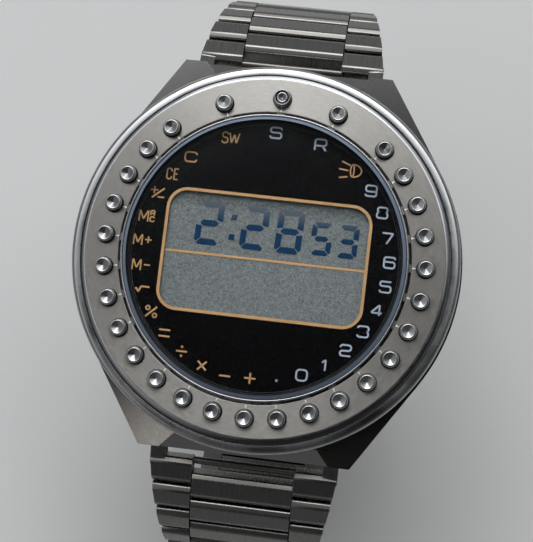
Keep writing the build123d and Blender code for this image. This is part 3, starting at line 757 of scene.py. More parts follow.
def build_rim():
    """The rim: a slope down from the key ring, a groove darkened with painted shade and a crowned outer
    band.
    """
    size = sizes()
    outer, inner, neck = RIM_HIGH.x, size.rim_inner_radius, RING_HIGH.x + NECK_GAP
    top, low = RIM_HIGH.z, RIM_LOW.z
    slope_top = RING_HIGH.z - size.ring_edge
    slope_low = slope_top - size.groove_fall
    slope_out, floor = neck + size.groove_slope, top - size.groove_depth
    edge = (outer, top - size.rim_fall)
    shoulder = rounded((inner, top), edge, (outer, low), size.rim_shoulder, steps=8)
    lip = rounded((inner, floor), (inner, top), edge, LIP_ROUND, steps=3)
    groove = [
        (neck, low), (neck, slope_top), (neck + BRINK_WIDTH, slope_top - BRINK_FALL),
        (slope_out, slope_low), (slope_out, floor), (inner, floor),
    ]
    profile = [*groove, *lip, *shoulder, (outer, low)]
    # The neck wall, the groove's outer wall and its floor take slot 1, dark steel that paints the shade
    # there.
    groove_slots = [1, 0, 2, 1, 1]
    slots = groove_slots + [0] * (len(profile) - len(groove_slots))
    finishes = ["rim_polish", "groove_painted_shade", "slope_satin"]
    turned_piece("polished_rim", profile, finishes, "outer_rim", slots)


HOLE_GAP = 0.05 * MM
# Points round a key hole, and the clock angle that a stretch of plain ring takes for a column.
HOLE_STEPS = 32
COLUMN_ANGLE = math.radians(1.2)
LEAST_STRETCH = math.radians(0.5)
SEAM = 0.002 * MM
BEVEL_ANGLE = math.radians(50)


def ring_radius(share):
    """From the ring's bore at -1 over the circle of keys at 0 to its outside at 1."""
    room = RING_HIGH.x - KEY_CIRCLE if share > 0 else KEY_CIRCLE - sizes().ring_inner_radius
    return KEY_CIRCLE + share * room


def ring_cell(graph, angle, half_angle, hole_radius):
    """The stretch of flat ring round one key hole, out to its share of the ring."""
    centre = Vector(at_clock(angle, KEY_CIRCLE))
    outward, sideways = centre.normalized(), Vector((math.cos(angle), -math.sin(angle)))
    hole, border = [], []
    for step in range(HOLE_STEPS):
        across, out = on_circle((0, 0), 1, step / HOLE_STEPS)
        place = centre + (sideways * across + outward * out) * hole_radius
        hole.append(graph.verts.new((*place, RING_HIGH.z)))
        stretch = 1 / max(abs(across), abs(out))
        corner = at_clock(angle + across * stretch * half_angle, ring_radius(out * stretch))
        border.append(graph.verts.new((*corner, RING_HIGH.z)))
    for step in range(HOLE_STEPS):
        after = (step + 1) % HOLE_STEPS
        graph.faces.new((hole[step], hole[after], border[after], border[step]))


def ring_stretch(graph, start, end):
    """A plain stretch of flat ring between two clock angles, with the points of its neighbours."""
    side = HOLE_STEPS // 8
    radii = [ring_radius(math.tan(math.pi / 4 * step / side)) for step in range(-side, side + 1)]
    columns = max(2, round((end - start) / COLUMN_ANGLE))
    rows = []
    for column in range(columns + 1):
        angle = start + (end - start) * column / columns
        rows.append([graph.verts.new((*at_clock(angle, radius), RING_HIGH.z)) for radius in radii])
    for first, second in zip(rows, rows[1:]):
        for low in range(len(radii) - 1):
            graph.faces.new((first[low], second[low], second[low + 1], first[low + 1]))


def key_angle(name):
    """Clock angle of a key, in radians."""
    place = node_centre(name)
    return math.atan2(place.x, place.y) % (2 * math.pi)


def build_key_ring():
    """The brushed ring with a round hole for each key."""
    graph = bmesh.new()
    angles = sorted(key_angle(name) for name in KEYS)
    half_angle = min(after - before for before, after in zip(angles, angles[1:])) / 2
    for angle, after in zip(angles, [*angles[1:], angles[0] + 2 * math.pi]):
        ring_cell(graph, angle, half_angle, sizes().key_foot_radius + HOLE_GAP)
        if after - angle > 2 * half_angle + LEAST_STRETCH:
            ring_stretch(graph, angle + half_angle, after - half_angle)
    bmesh.ops.remove_doubles(graph, verts=graph.verts, dist=SEAM)
    bmesh.ops.recalc_face_normals(graph, faces=graph.faces)
    if sum(face.normal.z * face.calc_area() for face in graph.faces) < 0:
        bmesh.ops.reverse_faces(graph, faces=graph.faces)
    mesh = raw_mesh(graph)
    mesh.shade_smooth()
    ring = finished_piece("brushed_ring", mesh, ["ring_brushed"], "case", ["key_ring"])
    solid = ring.modifiers.new("thickness", "SOLIDIFY")
    solid.thickness = RING_HIGH.z - RING_LOW.z
    solid.offset = -1
    bevel = ring.modifiers.new("bright_edges", "BEVEL")
    bevel.width = sizes().ring_edge
    bevel.segments = 2
    bevel.limit_method = "ANGLE"
    bevel.angle_limit = BEVEL_ANGLE
    bevel.use_clamp_overlap = True
    bevel.harden_normals = True


# The stakes inside the ring, dark with painted shade, and on it a tick beside each with a fine line from
# there to the key: raised marks whose pale colour is a painted highlight.
STAKE_HALF_WIDTH, STAKE_DEPTH = 0.42 * MM, 0.14 * MM
TICK_HALF_WIDTH, TICK_RISE = 0.07 * MM, 0.008 * MM
TICK_START, TICK_END = 0.1 * MM, 0.3 * MM
FINE_HALF_WIDTH, FINE_END = 0.025 * MM, 1.02 * MM
SLACK = 0.004 * MM


def ring_sector(angle, half_width, inner, outer, steps=2):
    """Outline of a short piece of a ring about a clock angle."""
    turns = [angle + half_width / inner * (2 * step / steps - 1) for step in range(steps + 1)]
    near = [at_clock(turn, inner) for turn in turns]
    return near + [at_clock(turn, outer) for turn in reversed(turns)]


def build_ring_stakes():
    """Stakes across the gap inside the ring, coloured as painted shade, and from each to its key a raised
    mark whose pale colour is a painted highlight.
    """
    stakes, marks = bmesh.new(), bmesh.new()
    inner, outer = CRYSTAL_RING_HIGH.x, sizes().ring_inner_radius
    flat = RING_HIGH.z
    for angle in map(key_angle, KEYS):
        stake = ring_sector(angle, STAKE_HALF_WIDTH, inner + SLACK, outer - SLACK, steps=6)
        plate(stakes, stake, RING_LOW.z, flat - STAKE_DEPTH)
        tick = ring_sector(angle, TICK_HALF_WIDTH, outer + TICK_START, outer + TICK_END)
        plate(marks, tick, flat - SLACK, flat + TICK_RISE)
        line = ring_sector(angle, FINE_HALF_WIDTH, outer + TICK_END, KEY_CIRCLE - FINE_END)
        plate(marks, line, flat - SLACK, flat + SLACK)
    # The stakes carry the groove's painted shade and the marks carry a painted highlight.
    for name, graph, material in (
        ("ring_stakes", stakes, "groove_painted_shade"), ("ring_painted_highlight_marks", marks, "mark_painted_highlight"),
    ):
        finished_piece(name, mesh_of(graph, False), [material], "case")


# Keys

KEY_ROOT = 0.3 * MM
KEY_NECK = 0.3 * MM
KEY_STEPS = 40
# Where the hollow cone of a key has its rings of points, as shares of its radius.
CONE_SHARES = (0.92, 0.1, 0.0)
SETTING_FOOT, SETTING_LIP = 0.635 * MM, 0.62 * MM
SETTING_DISH, SETTING_DEPTH = 0.43 * MM, 0.26 * MM
SETTING_FALL = 0.02 * MM


def key_piece(name, node, foot, lip, dish, depth, top):
    """A key with a straight foot, a round lip and a hollow cone in its top."""
    low = RING_LOW.z - KEY_ROOT
    brow = (lip - dish) / 2
    lip_line = [(foot, low), (foot, top - KEY_NECK), (lip, top - brow), (lip - brow, top), (dish, top)]
    rim = rounded_line([*lip_line, (0.0, top - depth)], sizes().key_lip_round)
    cone = [(dish * share, top - depth * (1 - share)) for share in CONE_SHARES]
    profile = [(0.0, low), *rim[:-1], *cone]
    slots = [0] * (len(profile) - 1 - len(cone)) + [1] * len(cone)
    turned_piece(
        name, profile, ["key_polish", "key_turned"], node, slots, KEY_STEPS, node,
        node_centre(node).xy,
    )


def build_keys():
    size = sizes()
    push = (size.key_foot_radius, size.key_lip_radius, size.key_dish_radius, size.key_dish_depth)
    for name in PUSH_KEYS:
        key_piece(name.replace("key_", "push_key_"), name, *push, KEY_TOP)
    setting = (SETTING_FOOT, SETTING_LIP, SETTING_DISH, SETTING_DEPTH)
    key_piece("push_key_setting", "key_setting", *setting, KEY_TOP - SETTING_FALL)


COLLAR_BORE, COLLAR_LIP = 0.71 * MM, 0.85 * MM
COLLAR_FOOT, COLLAR_SHANK = 0.97 * MM, 0.93 * MM
COLLAR_SUNK, COLLAR_SEAM = 0.3 * MM, 0.03 * MM
COLLAR_WAIST_LOW, COLLAR_WAIST_HIGH = 0.3 * MM, 0.42 * MM
COLLAR_ROUND = 0.04 * MM


def build_collar():
    """Fixed guard round the setting key: a foot, a waist and a thin bright lip."""
    bore, foot, lip = COLLAR_BORE, COLLAR_FOOT, COLLAR_LIP
    base, top = RING_HIGH.z, COLLAR_TOP
    low, waist = base - COLLAR_SUNK, base + COLLAR_WAIST_LOW
    crown = rounded((foot, waist), (lip, top), (bore, top), COLLAR_ROUND, steps=3)
    inside = rounded((lip, top), (bore, top), (bore, base), COLLAR_ROUND, steps=3)
    profile = [
        (bore, low), (COLLAR_SHANK, low), (COLLAR_SHANK, base), (foot, base + COLLAR_SEAM),
        (foot, waist), (lip + COLLAR_ROUND, base + COLLAR_WAIST_HIGH), *crown, *inside,
    ]
    turned_piece(
        "setting_guard", profile, ["key_polish"], "setting_collar", steps=48,
        centre=node_centre("setting_collar").xy,
    )


# Crystal

CRYSTAL_GAP = 0.03 * MM


def build_crystal():
    """Flat crystal whose ground bevel shows as a pale ring."""
    size = sizes()
    outer, flat = CRYSTAL_HIGH.x, size.crystal_flat_radius
    top, low = CRYSTAL_HIGH.z, CRYSTAL_LOW.z
    profile = [(0.0, low), (outer, low), (outer, top - size.crystal_bevel), (flat, top), (0.0, top)]
    finishes = ["crystal_clear", "crystal_edge"]
    turned_piece("watch_crystal", profile, finishes, "crystal", [0, 1, 1, 0])


def build_crystal_ring():
    """The thin bright ring round the crystal, with a round top."""
    inner, outer = CRYSTAL_HIGH.x + CRYSTAL_GAP, CRYSTAL_RING_HIGH.x
    top, low = CRYSTAL_RING_HIGH.z, CRYSTAL_RING_LOW.z
    soft = (outer - inner) * SHARED_ROOM
    crown = rounded((outer, low), (outer, top), (inner, top), soft, steps=5)
    crown += rounded((outer, top), (inner, top), (inner, low), soft, steps=5)
    profile = [(inner, low), (outer, low), *crown]
    turned_piece("bright_ring", profile, ["rim_polish"], "crystal_ring")


# Dial printing. A glyph is a list of strokes in a unit square; a stroke is a list of points,
# a flag that closes it and the share of the glyph's height that rounds its corners.

SOFT_SHARE = 0.27
BOX_POINTS = [(0, 0), (1, 0), (1, 1), (0, 1)]
GLYPHS = {
    "0": [(BOX_POINTS, True, SOFT_SHARE)],
    "1": [([(0.1, 0.72), (0.55, 1), (0.55, 0)], False, 0.04)],
    "2": [([(0, 0.76), (0, 1), (1, 1), (1, 0.5), (0, 0.44), (0, 0), (1, 0)], False, 0.2)],
    "3": [
        ([(0, 0.8), (0, 1), (1, 1), (1, 0.52), (0.3, 0.52)], False, 0.2),
        ([(0.3, 0.52), (1, 0.52), (1, 0), (0, 0), (0, 0.2)], False, 0.2),
    ],
    "4": [([(1, 0.24), (0, 0.24), (0.75, 1), (0.75, 0)], False, 0.04)],
    "5": [([(1, 1), (0, 1), (0, 0.58), (1, 0.58), (1, 0), (0, 0), (0, 0.2)], False, 0.16)],
    "6": [([(1, 0.82), (1, 1), (0, 1), (0, 0), (1, 0), (1, 0.56), (0, 0.56)], False, 0.18)],
    "7": [([(0, 1), (1, 1), (0.45, 0)], False, 0.05)],
    "8": [
        ([(0.04, 0.53), (0.96, 0.53), (0.96, 1), (0.04, 1)], True, 0.2),
        ([(0, 0), (1, 0), (1, 0.53), (0, 0.53)], True, 0.2),
    ],
    "9": [([(0, 0.18), (0, 0), (1, 0), (1, 1), (0, 1), (0, 0.44), (1, 0.44)], False, 0.18)],
    "S": [([(1, 0.8), (1, 1), (0, 1), (0, 0.52), (1, 0.52), (1, 0), (0, 0), (0, 0.2)], False, 0.2)],
    "R": [
        ([(0, 0), (0, 1), (1, 1), (1, 0.42), (0, 0.42)], False, 0.18),
        ([(0.66, 0.42), (1, 0)], False, 0),
    ],
    "C": [([(1, 0.74), (1, 1), (0, 1), (0, 0), (1, 0), (1, 0.26)], False, SOFT_SHARE)],
    "E": [([(1, 1), (0, 1), (0, 0), (1, 0)], False, 0.03), ([(0, 0.52), (0.85, 0.52)], False, 0)],
    "W": [([(0, 1), (0.25, 0), (0.5, 0.9), (0.75, 0), (1, 1)], False, 0.03)],
    "M": [([(0, 0), (0, 1), (0.5, 0.2), (1, 1), (1, 0)], False, 0.03)],
    "+": [([(0, 0.5), (1, 0.5)], False, 0), ([(0.5, 0), (0.5, 1)], False, 0)],
    "-": [([(0, 0.5), (1, 0.5)], False, 0)],
    "/": [([(0, 0), (1, 1)], False, 0)],
    "x": [([(0, 0), (1, 1)], False, 0), ([(0, 1), (1, 0)], False, 0)],
    "=": [([(0, 0), (1, 0)], False, 0), ([(0, 1), (1, 1)], False, 0)],
    "root": [([(0, 0.5), (0.1, 0.58), (0.25, 0), (0.42, 1), (1, 1)], False, 0.02)],
    "o": [(BOX_POINTS, True, 0.5)],
    "dot": [],
}

# A legend is a list of (glyph, x, y, width, height), all shares of the legend height, with x
# and y the glyph's middle.
LEGENDS = {
    "key_setting": [("S", 0, 0, 1.04, 1)],
    "key_recall": [("R", 0, 0, 1.04, 1.05)],
    "key_light": [
        ("/", -0.56, 0.56, 0.71, -0.28), ("/", -0.72, 0.02, 0.76, -0.08), ("/", -0.7, -0.6, 0.68, 0.13),
        ("lamp", 0.3, 0, 0.98, 1.16),
    ],
    "key_point": [("dot", 0, -0.3, 0, 0)],
    "key_plus": [("+", 0, 0, 0.92, 0.9)],
    "key_minus": [("-", 0, 0, 0.92, 1)],
    "key_times": [("x", 0, 0, 0.72, 0.72)],
    "key_divide": [("-", 0, 0, 0.9, 1), ("dot", 0, 0.37, 0, 0), ("dot", 0, -0.37, 0, 0)],
    "key_equals": [("=", 0, 0, 0.92, 0.52)],
    "key_percent": [("/", 0, 0, 0.9, 0.86), ("o", -0.31, 0.29, 0.44, 0.44), ("o", 0.31, -0.29, 0.44, 0.44)],
    "key_root": [("root", 0, 0, 1.32, 0.58)],
    "key_memory_minus": [("M", -0.36, 0, 0.8, 1.08), ("-", 0.5, 0, 0.5, 1)],
    "key_memory_plus": [("M", -0.36, 0, 0.8, 1.08), ("+", 0.5, 0, 0.54, 0.54)],
    "key_memory": [
        ("M", -0.36, 0, 0.84, 1.1), ("R", 0.36, 0.26, 0.45, 0.5), ("C", 0.36, -0.26, 0.45, 0.5),
    ],
    "key_sign": [("+", -0.34, 0.23, 0.6, 0.6), ("/", 0, 0, 0.98, 0.84), ("-", 0.26, -0.34, 0.56, 1)],
    "key_clear_entry": [("C", -0.28, 0, 0.5, 1), ("E", 0.29, 0, 0.44, 1)],
    "key_clear": [("C", 0, 0, 1.1, 0.94)],
    "key_switch": [("S", -0.46, 0, 0.58, 1.0), ("W", 0.3, 0, 0.92, 1.0)],
}
NUMBER_WORDS = ("zero", "one", "two", "three", "four", "five", "six", "seven", "eight", "nine")
for digit, word in enumerate(NUMBER_WORDS):
    LEGENDS["key_" + word] = [(str(digit), 0, 0, 0.75 if digit == 1 else 1, 1)]
SILVER_KEYS = {"key_setting", "key_recall", "key_point", *("key_" + word for word in NUMBER_WORDS)}
# The legends from the setting key to the point sit a little before their keys.
LEGEND_TURN = math.radians(-2.0)
TURNED_KEYS = SILVER_KEYS | {"key_light"}
THIN_GLYPHS = {"M", "W", "o", "lamp"}
# How far each legend's middle lies from its place on the legend circle, in millimetres.
LEGEND_SHIFTS = {
    "key_setting": (0.16, 0.2), "key_recall": (0.27, 0.12), "key_light": (-0.26, 0.1),
    "key_nine": (0.1, 0.06), "key_eight": (0.1, 0.09), "key_seven": (-0.04, -0.1),
    "key_five": (-0.06, 0.05), "key_four": (-0.09, 0.12), "key_three": (-0.14, 0.11),
    "key_two": (-0.17, 0.09), "key_one": (-0.17, 0.08), "key_zero": (-0.2, 0.12),
    "key_point": (-0.25, 0.52), "key_plus": (0.03, 0.4), "key_minus": (0.0, 0.08),
    "key_times": (0.0, 0.08), "key_divide": (0.0, 0.05), "key_equals": (-0.03, 0.05),
    "key_percent": (-0.08, 0.06), "key_root": (-0.17, -0.05), "key_memory_minus": (0.08, 0.0),
    "key_memory_plus": (0.06, 0.05), "key_sign": (-0.1, 0.06), "key_clear_entry": (-0.16, -0.02),
    "key_clear": (-0.22, 0.06), "key_switch": (-0.32, 0.02),
}


# The print's lower and upper side, a dot's radius and a thin stroke's width as shares of a stroke,
# the width below which a glyph is drawn thin, and the height of gold legends beside silver ones.
PRINT_LOW, PRINT_HIGH = DIAL_TOP - 0.005 * MM, DIAL_TOP + 0.015 * MM
DOT_SHARE, THIN_SHARE = 0.75, 0.82
THIN_WIDTH = 0.65
GOLD_SHARE = 0.98
# These glyphs' strokes end on the edge of their box, and the others stay half a stroke inside.
BAR_GLYPHS = {"-", "/", "+", "x", "="}
SOFTEST = 0.46


def draw_glyph(graph, glyph, middle, width, height, half_stroke):
    """Adds one glyph as raised strips, inside its width and height."""
    if glyph == "dot":
        outline = circle(middle, 2 * DOT_SHARE * half_stroke, steps=12)
        plate(graph, outline, PRINT_LOW, PRINT_HIGH)
        return
    if glyph == "lamp":
        draw_lamp(graph, middle, width, height, half_stroke)
        return
    inset = 0 if glyph in BAR_GLYPHS else half_stroke
    inner_width = width - 2 * inset
    inner_height = height - 2 * inset * (1 if height > 0 else -1)
    for points, closed, soft in GLYPHS[glyph]:
        line = [
            (middle[0] + (x - 0.5) * inner_width, middle[1] + (y - 0.5) * inner_height) for x, y in points
        ]
        if soft:
            shortest = abs(min(width, abs(height)) - 2 * inset)
            line = rounded_line(line, min(soft * abs(height), SOFTEST * shortest), closed)
        strip(graph, line, half_stroke, PRINT_LOW, PRINT_HIGH, closed)


def half_oval(middle, reach, half_height, steps):
    """Points of half an oval, from its top to its bottom, that bulges by reach along X."""
    turns = [math.pi * step / steps for step in range(steps + 1)]
    return [
        (middle[0] + reach * math.sin(turn), middle[1] + half_height * math.cos(turn)) for turn in turns
    ]


# The lamp sign's arcs from its reflector to its lens: (bulge as a share of the width, steps, stroke).
LAMP_EDGE = 0.27
LAMP_ARCS = ((1 - LAMP_EDGE, 12, 1.0), (-0.2, 8, 0.9), (0.1, 8, 0.9))


def draw_lamp(graph, middle, width, height, half_stroke):
    """The sign of the lamp key: a reflector seen from the side with its lens in front."""
    edge = (middle[0] - width * LAMP_EDGE, middle[1])
    for bulge, steps, share in LAMP_ARCS:
        line = half_oval(edge, width * bulge, height / 2 - half_stroke, steps)
        strip(graph, line, half_stroke * share, PRINT_LOW, PRINT_HIGH)


def build_legends():
    """The printed legends inside the ring of keys, silver for the numbers and gold otherwise."""
    size = sizes()
    graphs = {"silver": bmesh.new(), "gold": bmesh.new()}
    for name, legend in LEGENDS.items():
        silver = name in SILVER_KEYS
        angle = key_angle(name) + (LEGEND_TURN if name in TURNED_KEYS else 0)
        place = Vector(at_clock(angle, 1)) * size.legend_radius
        place += Vector(LEGEND_SHIFTS.get(name, (0, 0))) * MM
        unit = size.legend_height * (1 if silver else GOLD_SHARE)
        for glyph, x, y, width, height in legend:
            thin = glyph in THIN_GLYPHS or 0 < width < THIN_WIDTH or name == "key_light"
            half_stroke = size.legend_stroke / 2 * (THIN_SHARE if thin else 1)
            middle = (place.x + x * unit, place.y + y * unit)
            graph = graphs["silver" if silver else "gold"]
            draw_glyph(graph, glyph, middle, width * unit, height * unit, half_stroke)
    for tone, graph in graphs.items():
        finished_piece(tone + "_legends", mesh_of(graph, False), [tone + "_print"], "case")


# The line that divides the window stands on the display.
DIVIDER_PLACE, DIVIDER_HALF, DIVIDER_END = -0.26 * MM, 0.12 * MM, 0.02 * MM
ON_DISPLAY, DIVIDER_TOP, SEGMENT_TOP = 0.02 * MM, 0.06 * MM, 0.05 * MM


def build_window_lines():
    """The gold line round the window and the one that divides it."""
    size = sizes()
    graph = bmesh.new()
    half_line = size.frame_line / 2
    x, y = size.window_width / 2 + half_line, size.window_height / 2 + half_line
    corners = [(-x, -y), (x, -y), (x, y), (-x, y)]
    around = rounded_line(corners, size.window_corner + half_line, closed=True, steps=8)
    strip(graph, around, half_line, PRINT_LOW, PRINT_HIGH, closed=True)
    reach, floor = size.window_width / 2 + DIVIDER_END, DISPLAY_TOP
    divider = [(-reach, DIVIDER_PLACE), (reach, DIVIDER_PLACE)]
    strip(graph, divider, DIVIDER_HALF, floor + ON_DISPLAY, floor + DIVIDER_TOP)
    finished_piece("window_lines", mesh_of(graph, False), ["gold_print"], "case")


EDGE_LINE_INSETS = (0.33 * MM, 0.15 * MM)
EDGE_LINE_HALF = 0.018 * MM
DIAL_EDGE = 0.05 * MM


def build_edge_lines():
    """Two fine rings on the dial inside the crystal's bevel."""
    graph = bmesh.new()
    for inset in EDGE_LINE_INSETS:
        radius = sizes().crystal_flat_radius - inset
        near, far = radius - EDGE_LINE_HALF, radius + EDGE_LINE_HALF
        corners = [(near, PRINT_LOW), (far, PRINT_LOW), (far, PRINT_HIGH), (near, PRINT_HIGH)]
        lathe(graph, corners, steps=120)
    finished_piece("dial_edge_lines", mesh_of(graph, False), ["edge_grey"], "case")


def build_dial():
    """The black dial with a softened window edge."""
    dressed_node("dial", "dial_plate", DIAL_EDGE, ["dial_black"], "case")


# Display

SEGMENTS_OF = {"2": "abged", "8": "abcdefg", "5": "afgcd", "3": "abgcd"}
# Each digit, where it starts along X in millimetres, and whether it is one of the large ones.
DIGITS = (("2", -7.65, True), ("2", -2.85, True), ("8", 0.85, True), ("5", 4.55, False), ("3", 7.3, False))
DIGIT_BASE, SMALL_RISE = 0.7 * MM, 0.18 * MM
DIGIT_SLANT = 0.035
# Width of a digit and thickness of its segments, as shares of its height.
BIG_SHARES, SMALL_SHARES = (0.6, 0.138), (0.63, 0.1587)
SEGMENT_GAP = 0.09 * MM
# How far the digits' outer corners are cut, and the fall of the side segments' ends at the middle.
CORNER_CUT, SIDE_FALL = 0.75, 0.6
COLON_PLACE, COLON_HEIGHTS, COLON_HALF = -3.8 * MM, (1.1 * MM, 3.2 * MM), 0.3 * MM
COLON_LEAN = 0.26


def segment_outlines(width, height, thick):
    """Outline of each of the seven segments, by letter, in a box that starts at (0, 0)."""
    gap, half, waist = SEGMENT_GAP, height / 2, thick / 2
    side_high = half - gap / 2
    cut = thick * CORNER_CUT
    near, far = cut / 2 + gap / 2, cut / 2 - gap / 2
    start, end = thick + gap, width - thick - gap
    level = [
        (near, far), (cut, 0), (width - cut, 0), (width - near, far),
        (width - thick - gap / 2, thick), (thick + gap / 2, thick),
    ]
    upright = [
        (0, side_high - waist * SIDE_FALL), (0, cut), (far, near), (thick, thick + gap / 2),
        (thick, side_high - waist),
    ]

    def placed(outline, right, top):
        return [(width - x if right else x, height - y if top else y) for x, y in outline]

    return {
        "a": placed(level, False, True),
        "d": placed(level, False, False),
        "g": [
            (gap + waist, half), (start, half + waist), (end, half + waist),
            (width - gap - waist, half), (end, half - waist), (start, half - waist),
        ],
        "f": placed(upright, False, True),
        "b": placed(upright, True, True),
        "e": placed(upright, False, False),
        "c": placed(upright, True, False),
    }


def build_segments():
    """The time and the seconds on the display, in slanted seven-segment digits."""
    size = sizes()
    graph = bmesh.new()
    low, high = DISPLAY_TOP + ON_DISPLAY, DISPLAY_TOP + SEGMENT_TOP
    for digit, left, big in DIGITS:
        height = size.digit_height if big else size.small_digit_height
        width, thick = (share * height for share in (BIG_SHARES if big else SMALL_SHARES))
        bottom = DIGIT_BASE + (0 if big else SMALL_RISE)
        outlines = segment_outlines(width, height, thick)
        for letter in SEGMENTS_OF[digit]:
            outline = [(left * MM + x + y * DIGIT_SLANT, bottom + y) for x, y in outlines[letter]]
            plate(graph, outline, low, high)
    half = COLON_HALF
    for y in (DIGIT_BASE + rise for rise in COLON_HEIGHTS):
        x, lean = COLON_PLACE + y * DIGIT_SLANT, half * COLON_LEAN
        outline = [
            (x - half, y - half), (x + half, y - half),
            (x + half + lean, y + half), (x - half + lean, y + half),
        ]
        plate(graph, outline, low, high)
    finished_piece("segments", mesh_of(graph, False), ["segment_blue"], "case")


# Pieces that keep their shapes

NODE_FINISHES = {
    "crystal_gasket": "black_rubber", "back_gasket": "black_rubber", "lcd_connectors": "grey_rubber",
    "key_membrane": "grey_rubber", "module_frame": "holder_cream", "lamp": "lamp_clear",
    "circuit_board": "board_green", "processor_chip": "chip_black", "timing_crystal": "can_metal",
    "battery": "battery_metal", "battery_clamp": "blade_satin", "contact_ring": "contact_copper",
    "spring_bars": "bar_steel",
}


def finish_node(node, material):
    """Gives a node that keeps its own shape a finish."""
    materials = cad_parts[node].data.materials
    materials.clear()
    materials.append(MATERIALS[material])


# Bracelet and clasp

LOOP_CENTRE = Vector((0, 0, -17 * MM))
# Cosines of the slopes at which a face may be its piece's top, and at which it is a shoulder.
OUTWARD_SHARE = 0.8
SHOULDER_SHARES = (0.35, 0.95)
LEAST_SHOULDER = 1.5 * MM
STRAIGHT_ACROSS = 0.99
CLASP_EDGE = 0.06 * MM


def paint_links(graph):
    """Each bracelet piece is brushed on its top and polished on its shoulders."""
    least, most = SHOULDER_SHARES
    for group in islands(graph):
        middle = sum((face.calc_center_median() for face in group), Vector()) / len(group)
        outward = middle - LOOP_CENTRE
        outward.x = 0
        outward.normalize()
        tops = [face for face in group if face.normal.dot(outward) > OUTWARD_SHARE]
        up = max(tops, key=lambda face: face.calc_area()).normal.copy()
        for face in group:
            face.material_index = 1 if least < face.normal.dot(up) < most else 0


def shoulder_edge(edge):
    """The edges of the sloping shoulders, which run across the bracelet."""
    shoulders = [face for face in edge.link_faces if face.material_index == 1]
    across = abs(direction(edge).x) > STRAIGHT_ACROSS
    return across and len(shoulders) == 1 and edge.calc_length() > LEAST_SHOULDER


def build_bracelet():
    size = sizes()
    roundings = [(shoulder_edge, size.link_nose)]
    finishes = ["band_brushed", "band_polish"]
    for side in ("upper", "lower"):
        for number in (1, 2, 3):
            node, name = f"{side}_band_{number}", f"{side}_links_{number}"
            dressed_node(name, node, size.link_break, finishes, node, paint_links, roundings)


def build_clasp():
    for node, name, material in (
        ("clasp_cover", "clasp_shell", "clasp_brushed"),
        ("clasp_outer_blade", "outer_leaf", "blade_satin"),
        ("clasp_inner_blade", "inner_leaf", "blade_satin"),
    ):
        dressed_node(name, node, CLASP_EDGE, [material], node)


# Stage

CAMERA_PLACE = Vector((11.22, -13.07, 143.25)) * MM
CAMERA_RIGHT = Vector((0.9905, 0.1186, -0.0691))
CAMERA_UP = Vector((-0.1118, 0.9892, 0.0949))
CAMERA_LENS = 86.35
NEAREST = 10 * MM


def build_camera():
    """The camera at the angle from which the watch is seen."""
    data = bpy.data.cameras.new("camera")
    data.lens = CAMERA_LENS
    data.clip_start = NEAREST
    camera = in_scene("camera", data)
    right = CAMERA_RIGHT.normalized()
    back = right.cross(CAMERA_UP).normalized()
    turn = Matrix((right, back.cross(right), back)).transposed().to_4x4()
    camera.matrix_world = Matrix.Translation(CAMERA_PLACE) @ turn
    bpy.context.scene.camera = camera


# The softboxes: (name, place, width, height, power, colour), in metres and watts.
LAMPS = (
    ("window_lamp", (-0.05, 0.39, 0.45), 0.4, 0.3, 1.52, (0.97, 0.985, 1.0)),
    ("side_lamp", (-0.094, -0.055, 0.6), 0.045, 0.045, 0.013, (1.0, 0.97, 0.93)),
)


def build_lights():
    """Softboxes that face the watch."""
    for name, place, width, height, power, colour_of_light in LAMPS:
        data = bpy.data.lights.new(name, "AREA")
        data.shape = "RECTANGLE"
        data.size, data.size_y = width, height
        data.energy = power
        data.color = colour_of_light
        lamp = in_scene(name, data)
        lamp.location = place
        lamp.rotation_euler = (-Vector(place)).to_track_quat("-Z", "Y").to_euler()


# How strong the surroundings are, as products of ramps along one axis of the direction:
# (axis, start, end, strength at start, strength at end). The products are added.
SURROUNDINGS = (
    (
        ("Z", 0.985, 0.9, 0.02, 1.0), ("Z", 0.6, 0.8, 0.05, 1.0), ("Y", -0.05, 0.42, 0.036, 3.1),
        ("X", 0.46, 0.66, 1.0, 0.15), ("X", -0.7, -0.15, 0.35, 1.0),
    ),
    (("Z", 0.97, 0.8, 0.0, 1.0), ("Z", 0.62, 0.8, 0.04, 1.0), ("X", -0.7, -0.1, 1.44, 0.0)),
    (("Z", 0.9, 0.2, 0.0, 0.24),),
)
SKY_TINT = (0.95, 0.975, 1.0, 1.0)


def build_world():
    """Soft light mostly from the 12 o'clock side, less from the left and little overhead."""
    world = bpy.data.worlds.new("studio")
    world.use_nodes = True
    graph = Graph(world.node_tree)
    backdrop = graph.tree.nodes["Background"].inputs
    backdrop["Color"].default_value = SKY_TINT
    towards = graph.add("ShaderNodeTexCoord").outputs["Generated"]
    total = 0.0
    for term in SURROUNDINGS:
        product = 1.0
        for axis, start, end, low, high in term:
            ramp = graph.span(graph.part(towards, axis), low, high, start, end, "SMOOTHSTEP")
            product = graph.math("MULTIPLY", ramp, product)
        total = graph.math("ADD", product, total)
    graph.link(total, backdrop["Strength"])
    bpy.context.scene.world = world


FLOOR_REACH = 3.0
FLOOR_GAP = 0.05 * MM


def build_floor():
    """A pale floor just under the clasp."""
    side, height = FLOOR_REACH, cad_box[0][2] - FLOOR_GAP
    mesh = bpy.data.meshes.new("floor_mesh")
    corners = [(x, y, height) for x, y in ((-side, -side), (side, -side), (side, side), (-side, side))]
    mesh.from_pydata(corners, [], [(0, 1, 2, 3)])
    finish = Finish("floor_pale", colours().floor, 0.7)
    finish.shade(finish.noise(finish.place(), scale=12.0, detail=3.0), 0.97, 1.03)
    mesh.materials.append(finish.material)
    in_scene("floor", mesh)


# Operators


class WATCH_OT_stage(bpy.types.Operator):
    """Set up the camera, the soft lights and the pale floor"""

    bl_idname = "watch.stage"
    bl_label = "Stage"

    def execute(self, context):
        build_camera()
        build_lights()
        build_world()
        build_floor()
        return {"FINISHED"}


